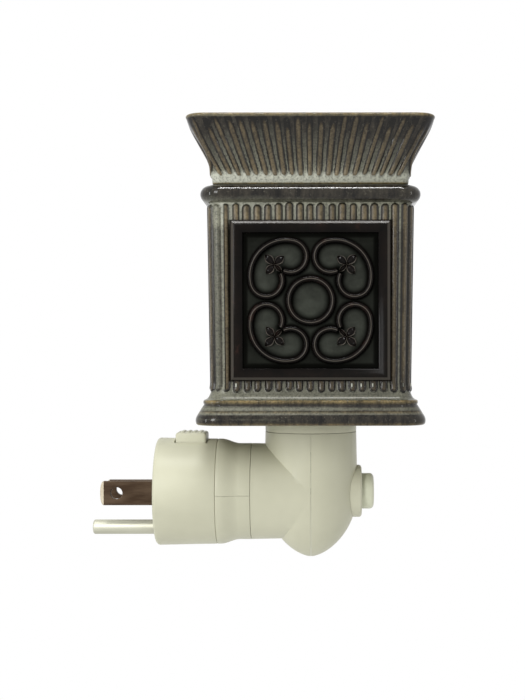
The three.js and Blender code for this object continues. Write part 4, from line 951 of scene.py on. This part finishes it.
def reed_marks(skin, along, reeds, height):
    """What the reeds do at one height of the wall: rise, bare crests, veils, and pale marks at their feet
    that paint glints.
    """
    relief, bare, veil = np.zeros((3, skin.count))
    paled = np.zeros(skin.count, dtype=bool)
    for side, centre, low, high, size, veiled in reeds:
        if height < low - REED_NEAR or height > high + REED_NEAR:
            continue
        near = (skin.sides == side) & (np.abs(along - centre) < REED_NEAR)
        shape = reed_shape(along[near] - centre, height, low, high, REED_HALF * size)
        relief[near] = np.maximum(relief[near], shape)
        if veiled:
            veil[near] = np.where(shape > 0.8, VEIL_CREST, np.where(shape > 0, VEIL_FLANK, veil[near]))
        else:
            bare[near] = np.maximum(bare[near], shape)
        # The drop mask marks painted glints: pale spots beside the feet of the stoutest reeds, and pale rims
        # round those feet
        if size > GLINT_STOUTNESS and low < BEHIND_PLAQUE[0]:
            drop = np.abs(along[near] - centre + GLINT_ASIDE) < GLINT_HALF_WIDTH
            drop &= abs(height - low - GLINT_RISE) < GLINT_HALF_HEIGHT
            paled[near] |= drop | ((shape > 0.1) & (shape < 0.6) & (height < low))
            bare[near] = np.where(drop, 0, bare[near])
    return relief, bare, veil, paled


def warmer_body():
    skin = Skin(BODY_STEPS, CERAMIC_FOOT)
    along = skin.shares * (BODY_MIDDLE - CORNER) + CORNER * skin.angles
    reeds = body_reeds()
    for height in (BODY_FLOOR, 0):
        skin.add(skin.circle(NECK_HOLE, height))
    for half, height, dark, gold in body_outline():
        relief, bare, veil, paled = reed_marks(skin, along, reeds, height)
        corner = max(1.0, CORNER + CORNER_SPREAD * (half - BODY_MIDDLE))
        row = skin.square(half, corner, height, relief * REED_RISE)
        # Darker towards +X: painted shade
        shade = dark + veil + PAINTED_SIDE_SHADE * row[:, 0] / BASE_HALF
        if height < BODY_HIGH[1]:
            shade = shade + np.where(bare > 0.3, np.interp(height, *CREST_BROWN), 0.0)
        # Painted glints at the reeds' feet replace their darkness
        skin.add(row, bare, np.where(paled, PAINTED_GLINT, shade), gold)
    mouth = SHOULDER_TOP - BODY_WALL
    skin.add(skin.square(mouth + MOUTH_CHAMFER, MOUTH_CORNER, BODY_TOP), dark=0.5)
    skin.add(skin.square(mouth, MOUTH_CORNER, BODY_TOP - MOUTH_CHAMFER), dark=0.5)
    skin.add(skin.square(mouth, MOUTH_CORNER, BODY_TOP - MOUTH_DEPTH), dark=0.4)
    skin.add(skin.square(BODY_LOW[0] - BODY_WALL, CAVITY_CORNER, BODY_FLOOR), dark=0.4)
    place(skin.piece("warmer_body", True), "base", "glaze", "warmer_body", CERAMIC_EDGE)


def flare(share):
    """Half width and height up the dish's outside."""
    keep = 1 - share
    weights = (keep ** 3, 3 * keep ** 2 * share, 3 * keep * share ** 2, share ** 3)
    return weights @ np.array(FLARE)


def dish_corner(half):
    share = max(0.0, (half - DISH_NECK) / (DISH_RIM - DISH_NECK))
    return DISH_CORNER + DISH_CORNER_GROWTH * share


def crown_reeds():
    """Each side's reeds: middle at the neck, foot and head as shares of the flare, stoutness and sway."""
    reach = 0.97 * (DISH_NECK - dish_corner(DISH_NECK))
    sides = []
    for side in range(4):
        reeds = []
        for centre in np.linspace(-reach, reach, CROWN_REEDS):
            middle = centre + chance.normal(0, 0.16)
            foot = chance.uniform(0.0, 0.04)
            head = chance.uniform(0.99, 1.28)
            reeds.append((middle, foot, head, chance.uniform(0.85, 1.15), chance.uniform(0, 6)))
        sides.append(reeds)
    return sides


def crown_rise(skin, sides, share, half, climb):
    """How far the fanned reeds rise at one level of the flare."""
    corner = dish_corner(half)
    rise = np.zeros(skin.count)
    for side, reeds in enumerate(sides):
        run = skin.run(side, half - corner, corner)
        for centre, low, high, size, sway in reeds:
            middle = centre * (1 + CROWN_FAN * climb) + CROWN_SWAY * climb * sin(sway + 4 * climb)
            near = np.abs(run - middle) < REED_NEAR
            away = np.hypot(run[near] - middle, max(0.0, low - share) * 20)
            reach = (CROWN_REED_HALF + CROWN_REED_SPREAD * climb) * size
            bulge = np.clip(1 - (away / reach) ** 2, 0, 1) * np.clip((high - share) / CROWN_FADE, 0, 1)
            rise[near] = np.maximum(rise[near], bulge)
    return rise


def wax_dish():
    skin = Skin(DISH_STEPS, DISH_FOOT)

    def add(half, height, relief=0.0, dark=0.3, gold=0.0, stand=0.0):
        row = skin.square(half, dish_corner(half), height, stand)
        # Darker towards +X: painted shade
        skin.add(row, relief, dark + PAINTED_SIDE_SHADE * row[:, 0] / DISH_RIM, gold)

    hollow = DISH_SPIGOT - DISH_SPIGOT_WALL
    chamfer = DISH_SPIGOT_CHAMFER
    low = -DISH_SPIGOT_DEPTH
    spigot = ((hollow, DISH_UNDERSIDE), (hollow, low + chamfer), (hollow + chamfer, low),
              (DISH_SPIGOT - chamfer, low), (DISH_SPIGOT, low + chamfer), (DISH_SPIGOT, DISH_EDGE))
    for half, height in spigot:
        add(half, height)
    for inset, height, dark, gold in CROWN_FOOT:
        add(DISH_NECK - inset, height, dark=dark, gold=gold)
    sides = crown_reeds()
    by_corner = CROWN_CORNER_SHADE * np.clip(np.abs(skin.shares) * 12 - 11, 0, 1)
    for share in np.linspace(0, 1, CROWN_ROWS):
        half, height = flare(share)
        climb = (height - DISH_NECK_HEIGHT) / (DISH_HEIGHT - DISH_LIP - DISH_NECK_HEIGHT)
        rise = crown_rise(skin, sides, share, half, climb)
        dark = np.interp(share, *CROWN_DARK)
        stand = rise * CROWN_REED_RISE * min(1.0, (1.02 - share) / 0.5)
        add(half, height, np.clip(1.3 * rise, 0, 1), dark + (by_corner if dark > 0 else 0), stand=stand)
    for inset, drop, gold in RIM_ROWS:
        add(DISH_RIM - inset, DISH_HEIGHT - drop, dark=0.7, gold=gold)
    for share in np.linspace(0.95, DISH_WALL_FOOT, 14):
        half, height = flare(share)
        add(half - DISH_WALL, height + DISH_WALL_RISE, dark=0.55)
    fall = height + DISH_WALL_RISE - DISH_FLOOR
    for angle in np.radians(np.linspace(10, 90, 8)):
        inner = half - DISH_WALL - DISH_FLOOR_ROUND * (1 - cos(angle))
        add(inner, DISH_FLOOR + fall * (1 - sin(angle)), dark=0.5)
    for half in (inner - 0.3, inner - 0.8, inner - 4, inner - 10, 8):
        add(half, DISH_FLOOR, dark=0.5)
    place(skin.piece("wax_dish", False), "wax_dish", "glaze", "wax_dish", CERAMIC_EDGE)


# Scroll plaques


def plaque_turn(side):
    """From a plaque lying on its back to its place on one wall."""
    lean = atan2(BODY_HIGH[0] - BODY_LOW[0], BODY_HIGH[1] - BODY_LOW[1])
    seat = Matrix.Translation(Vector((0, -PLAQUE_SEAT, PLAQUE_MIDDLE)) * MM)
    foot = Matrix.Translation(Vector((NECK_X, 0, CERAMIC_FOOT)) * MM)
    turn = Matrix.Rotation(side * pi / 2, 4, "Z")
    return foot @ turn @ seat @ Matrix.Rotation(pi / 2 + lean, 4, "X")


def heart_path():
    """The scroll's centre line: a lobe's curl, the back of the heart, and the other lobe's curl."""
    reach = HEART_RADIUS - LOBE_RADIUS
    start = radians(LOBE_START)
    lobe = (HEART_OFFSET + reach * cos(start), reach * sin(start))
    back = curve_of((HEART_OFFSET, 0), (HEART_RADIUS, HEART_RADIUS), -LOBE_START, LOBE_START, 40)
    curl = curve_of(lobe, (LOBE_RADIUS, LOBE_RADIUS), LOBE_START, LOBE_START + LOBE_SWEEP, 44)
    mirrored = [(x, -y) for x, y in reversed(curl)]
    return mirrored[:-1] + back + curl[1:]


def path_object(name, points):
    data = bpy.data.curves.new(name, "CURVE")
    data.dimensions = "3D"
    line = data.splines.new("POLY")
    line.points.add(len(points) - 1)
    for point, (x, y) in zip(line.points, points):
        point.co = (x * MM, y * MM, 0, 1)
    return add_object(name, data)


def trefoil():
    """A stem and three pointed leaves, each with a ridge along its middle and a worn pale rim that partly
    paints a highlight.
    """
    count = len(LEAF_SECTION)
    points = []
    faces = []
    for angle, length, width in LEAVES:
        turn = Matrix.Rotation(radians(angle), 3, "Z")
        first = len(points)
        for t in np.linspace(0, 1, LEAF_STEPS):
            half = width / 2 * sin(pi * (0.05 + 0.95 * t) ** 1.15) + 0.04
            swell = 0.55 + 0.45 * sin(pi * t)
            for across, height in LEAF_SECTION:
                point = turn @ Vector((length * t, half * across, height * swell))
                points.append((point.x + TREFOIL, point.y, point.z))
        faces += bands(LEAF_STEPS, count, first=first)
        faces.append(tuple(range(first + count - 1, first - 1, -1)))
        faces.append(tuple(range(len(points) - count, len(points))))
    leaves = make_piece("trefoil", points, faces)
    mark(leaves, "rub_and_highlight", LEAF_RUB_AND_HIGHLIGHT * LEAF_STEPS * len(LEAVES))
    return leaves


def scroll_tree():
    """A ring and scrolls turned about it, each a path with a round section and a trefoil inside."""
    tree = bpy.data.node_groups.new("scrollwork", "GeometryNodeTree")
    sockets = {}
    for name, kind in (("Scroll Path", "Object"), ("Trefoil", "Object"), ("Ring Radius", "Float"),
                       ("Scroll Radius", "Float"), ("Scrolls", "Int"), ("Finish", "Material")):
        socket = tree.interface.new_socket(name, in_out="INPUT", socket_type="NodeSocket" + kind)
        sockets[name] = socket.identifier
    tree.interface.new_socket("Geometry", in_out="OUTPUT", socket_type="NodeSocketGeometry")
    given = tree.nodes.new("NodeGroupInput").outputs

    def add(kind, output, **inputs):
        named = {name.replace("_", " "): value for name, value in inputs.items()}
        return add_node(tree, "GeometryNode" + kind, output, named)

    section = add("CurvePrimitiveCircle", "Curve", Resolution=24, Radius=given["Scroll Radius"])
    ring = add("CurvePrimitiveCircle", "Curve", Resolution=72, Radius=given["Ring Radius"])
    ring_tube = add("CurveToMesh", "Mesh", Curve=ring, Profile_Curve=section)
    path = add("ObjectInfo", "Geometry", Object=given["Scroll Path"])
    scroll = add("CurveToMesh", "Mesh", Curve=path, Profile_Curve=section, Fill_Caps=True)
    leaves = add("ObjectInfo", "Geometry", Object=given["Trefoil"])
    heart = add("JoinGeometry", "Geometry", Geometry=[scroll, leaves])
    spots = add("MeshLine", "Mesh", Count=given["Scrolls"], Offset=(0, 0, 0))
    steps = {0: add("InputIndex", "Index"), 1: 2 * pi / SCROLLS, 2: pi / SCROLLS}
    angle = add_node(tree, "ShaderNodeMath", 0, steps, operation="MULTIPLY_ADD")
    turn = add_node(tree, "ShaderNodeCombineXYZ", "Vector", {"Z": angle})
    copies = add("InstanceOnPoints", "Instances", Points=spots, Instance=heart, Rotation=turn)
    both = add("JoinGeometry", "Geometry", Geometry=[copies, ring_tube])
    real = add("RealizeInstances", "Geometry", Geometry=both)
    finished = add("SetMaterial", "Geometry", Geometry=real, Material=given["Finish"])
    tree.links.new(finished, tree.nodes.new("NodeGroupOutput").inputs["Geometry"])
    return tree, sockets


def scrollwork():
    """The ring and scrolls, dark at their feet as patina with painted shade and pale on their crests as a
    painted highlight: points, faces and gloom.
    """
    tree, sockets = scroll_tree()
    path = path_object("scroll_path", heart_path())
    leaves = trefoil()
    piece = make_piece("scrollwork", [(0, 0, 0)], [])
    growth = piece.modifiers.new("scrollwork", "NODES")
    growth.node_group = tree
    values = {"Scroll Path": path, "Trefoil": leaves, "Ring Radius": RING_RADIUS * MM,
              "Scroll Radius": SCROLL_RADIUS * MM, "Scrolls": SCROLLS, "Finish": BRONZE}
    for name, value in values.items():
        growth[sockets[name]] = value
    settle(piece)
    piece.data.transform(Matrix.Diagonal((1, 1, SCROLL_RISE / SCROLL_RADIUS, 1)))
    points = np.array([vertex.co for vertex in piece.data.vertices]) / MM
    faces = [tuple(polygon.vertices) for polygon in piece.data.polygons]
    rub_and_highlight = np.array([entry.value for entry in piece.data.attributes["rub_and_highlight"].data])
    for helper in (path, leaves, piece):
        bpy.data.objects.remove(helper, do_unlink=True)
    climb = points[:, 2] / SCROLL_RISE
    # The pale crest line is a painted highlight.
    crest = np.clip((climb - SCROLL_CREST) / (1 - SCROLL_CREST), 0, 1) * SCROLL_CREST_HIGHLIGHT
    rub_and_highlight = np.maximum(crest, rub_and_highlight)
    gloom = np.interp(climb, *SCROLL_GLOOM) * (1 - rub_and_highlight) - 0.8 * rub_and_highlight
    return points + np.array([0, 0, PANEL]), faces, gloom


def moulding():
    """The mitred frame: a worn grey bevel outside that is partly a painted highlight, a ridge, and a long
    slope down to the ground, darkened at its feet with patina and painted shade.
    """
    points = []
    for inset, height, _ in FRAME_PROFILE:
        reach = PLAQUE_HALF - inset
        points += [(x * reach, y * reach, height) for x, y in SQUARE]
    gloom = np.repeat([shade for _, _, shade in FRAME_PROFILE], 4)
    return np.array(points), bands(len(FRAME_PROFILE), 4, True), gloom


def ground_gloom(x, y, half):
    """How dark the ground is, as patina with painted shade: along the scrolls, inside the frame, and where
    the forms shelter it.
    """
    spots = x + 1j * y
    heart = np.array(heart_path()) @ (1, 1j)
    lines = [RING_RADIUS * np.exp(1j * np.radians(np.arange(0, 360, 4)))]
    shelter = np.where(np.abs(spots) < RING_RADIUS, 0.0, SHELTER_GAPS)
    for k in range(SCROLLS):
        turn = np.exp(1j * pi * (2 * k + 1) / SCROLLS)
        lines += [heart * turn, [TREFOIL * turn]]
        shelter[np.abs(spots - HEART_OFFSET * turn) < HEART_RADIUS] = SHELTER_HEARTS
    near = np.full(len(x), np.inf)
    for point in np.concatenate(lines):
        near = np.minimum(near, np.abs(spots - point))
    beside_scroll = np.exp(-((np.maximum(near - SCROLL_RADIUS, 0) / SCROLL_GLOOM_REACH) ** 1.4))
    from_frame = half - np.maximum(np.abs(x), np.abs(y))
    beside_frame = np.exp(-((np.maximum(from_frame - FRAME_GLOOM_FLAT, 0) / FRAME_GLOOM_REACH) ** 2))
    return np.maximum(np.maximum(beside_scroll, beside_frame), shelter) * GLOOM_DEEPEST


def ground():
    """The slab behind the scrolls, dished inside the ring and fine enough to carry its gloom."""
    half = PLAQUE_HALF - FRAME_WIDTH + 0.1
    side = GROUND_STEPS + 1
    line = np.linspace(-half, half, side)
    x, y = (axis.ravel() for axis in np.meshgrid(line, line))
    grid = np.arange(side ** 2).reshape(side, side)
    rim = np.concatenate([grid[0], grid[1:, -1], grid[-1, -2::-1], grid[-2:0:-1, 0]])
    dished = RING_DISH * np.clip(1 - (np.hypot(x, y) / RING_RADIUS) ** 2, 0, 1)
    top = np.stack([x, y, PANEL - dished], 1)
    under = top[rim] * np.array([1, 1, 0])
    foot = len(top) + np.arange(len(rim))
    cells = [grid[:-1, :-1], grid[:-1, 1:], grid[1:, 1:], grid[1:, :-1]]
    faces = np.stack(cells, -1).reshape(-1, 4).tolist()
    faces += np.stack([rim, foot, np.roll(foot, -1), np.roll(rim, -1)], 1).tolist()
    faces.append(foot[::-1].tolist())
    gloom = np.concatenate([ground_gloom(x, y, half), np.ones(len(rim))])
    return np.concatenate([top, under]), faces, gloom


def plaques():
    parts = [(moulding(), 0), (scrollwork(), 0), (ground(), 1)]
    points, faces, gloom, finishes = [], [], [], []
    for (part_points, part_faces, part_gloom), finish in parts:
        first = sum(len(group) for group in points)
        points.append(part_points)
        gloom.append(part_gloom)
        faces += [tuple(first + corner for corner in face) for face in part_faces]
        finishes += [finish] * len(part_faces)
    for name, side in (("plaque_front", 0), ("plaque_back", 2)):
        piece = make_piece("scroll_" + name, np.concatenate(points), faces, BRONZE, PANEL_GROUND)
        piece.data.polygons.foreach_set("material_index", finishes)
        mark(piece, "gloom", np.concatenate(gloom))
        piece.data.transform(plaque_turn(side))
        place(outward(piece, FINE_WELD), "base", "bronze", name, PLAQUE_EDGE)


# Pieces that keep the shape of their solids


def inner_pieces():
    finishes = {
        plastic_finish("inner_plastic", (120, 114, 102), (104, 98, 88), 0.6):
            ("blade_block", "swivel_hub", "brush_block", "switch_body"),
        metal_finish("contact_brass", (204, 172, 104), (176, 142, 80), 0.3, (1, 1, 1)):
            ("hot_ring", "neutral_ring", "hot_brush", "neutral_brush", "socket_shell", "centre_contact"),
        metal_finish("bulb_metal", (200, 198, 192), (172, 170, 164), 0.3, (1, 1, 0.3)):
            ("lock_spring", "switch_spring", "bulb_tip", "bulb_cap", "filament"),
        plastic_finish("washer_rubber", (52, 52, 52), (40, 40, 40), 0.8):
            ("washer",),
        plastic_finish("lamp_holder", (228, 226, 216), (216, 213, 202), 0.5):
            ("ring_nut", "socket_insulator"),
        glass_finish():
            ("bulb_glass", "bulb_stem"),
        plastic_finish("lead_sleeve", (70, 58, 52), (56, 46, 40), 0.6):
            ("hot_lead", "neutral_lead", "switched_lead"),
    }
    for finish, names in finishes.items():
        for name in names:
            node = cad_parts[name]
            node.data.materials.clear()
            node.data.materials.append(finish)


# Stage, light and camera


def white_when_seen(tree, surface, white, output):
    """Shows white to the camera, gloss and glass, and the surface to all other rays."""
    path = tree.nodes.new("ShaderNodeLightPath").outputs
    seen = path["Is Camera Ray"]
    for name in ("Is Glossy Ray", "Is Transmission Ray"):
        seen = add_node(tree, "ShaderNodeMath", 0, {0: seen, 1: path[name]}, operation="MAXIMUM")
    choice = add_node(tree, "ShaderNodeMixShader", "Shader", {"Fac": seen, 1: surface, 2: white})
    tree.links.new(choice, tree.nodes[output].inputs["Surface"])


def stage():
    paper = Finish("floor_paper")
    paper.set(Base_Color=(0.85, 0.85, 0.85, 1), Roughness=0.9)
    glow = add_node(paper.tree, "ShaderNodeEmission", "Emission", {})
    white_when_seen(paper.tree, paper.shader.outputs["BSDF"], glow, "Material Output")
    corners = [(x * FLOOR_REACH, y * FLOOR_REACH, FLOOR_HEIGHT) for x, y in SQUARE]
    make_piece("floor", corners, [(0, 1, 2, 3)], paper.material)


def light():
    world = bpy.data.worlds.new("studio")
    bpy.context.scene.world = world
    world.use_nodes = True
    tree = world.node_tree
    fill = tree.nodes["Background"]
    fill.inputs["Color"].default_value = WHITE
    fill.inputs["Strength"].default_value = FILL
    white = add_node(tree, "ShaderNodeBackground", "Background", {"Color": WHITE, "Strength": 1.0})
    white_when_seen(tree, fill.outputs["Background"], white, "World Output")
    for name, spot, aim, size, power in LAMPS:
        lamp = bpy.data.lights.new(name, "AREA")
        lamp.shape = "RECTANGLE"
        lamp.size = size[0] * MM
        lamp.size_y = size[1] * MM
        lamp.energy = power
        holder = add_object(name, lamp)
        holder.location = Vector(spot) * MM
        holder.rotation_euler = (Vector(aim) - Vector(spot)).to_track_quat("-Z", "Y").to_euler()


def camera():
    view = bpy.data.cameras.new("view")
    view.lens = LENS
    view.sensor_width = SENSOR
    view.shift_x = CAMERA_SHIFT
    view.clip_start = 0.01
    holder = add_object("view", view)
    turn = Matrix.Rotation(pi / 2, 4, "X") @ Matrix.Rotation(CAMERA_ROLL, 4, "Z")
    holder.matrix_world = Matrix.Translation(Vector(CAMERA_PLACE) * MM) @ turn
    bpy.context.scene.camera = holder


plug_head()
lock_button()
for blade_name, blade_width, blade_side in BLADES:
    blade(blade_name, blade_width, blade_side)
earth_pin()
collar_half("collar_upper", 1)
collar_half("collar_lower", -1)
housings()
switch_bezel()
switch_button()
neck_ring()
warmer_body()
wax_dish()
plaques()
inner_pieces()
stage()
light()
camera()
bpy.context.scene.view_settings.view_transform = "Standard"
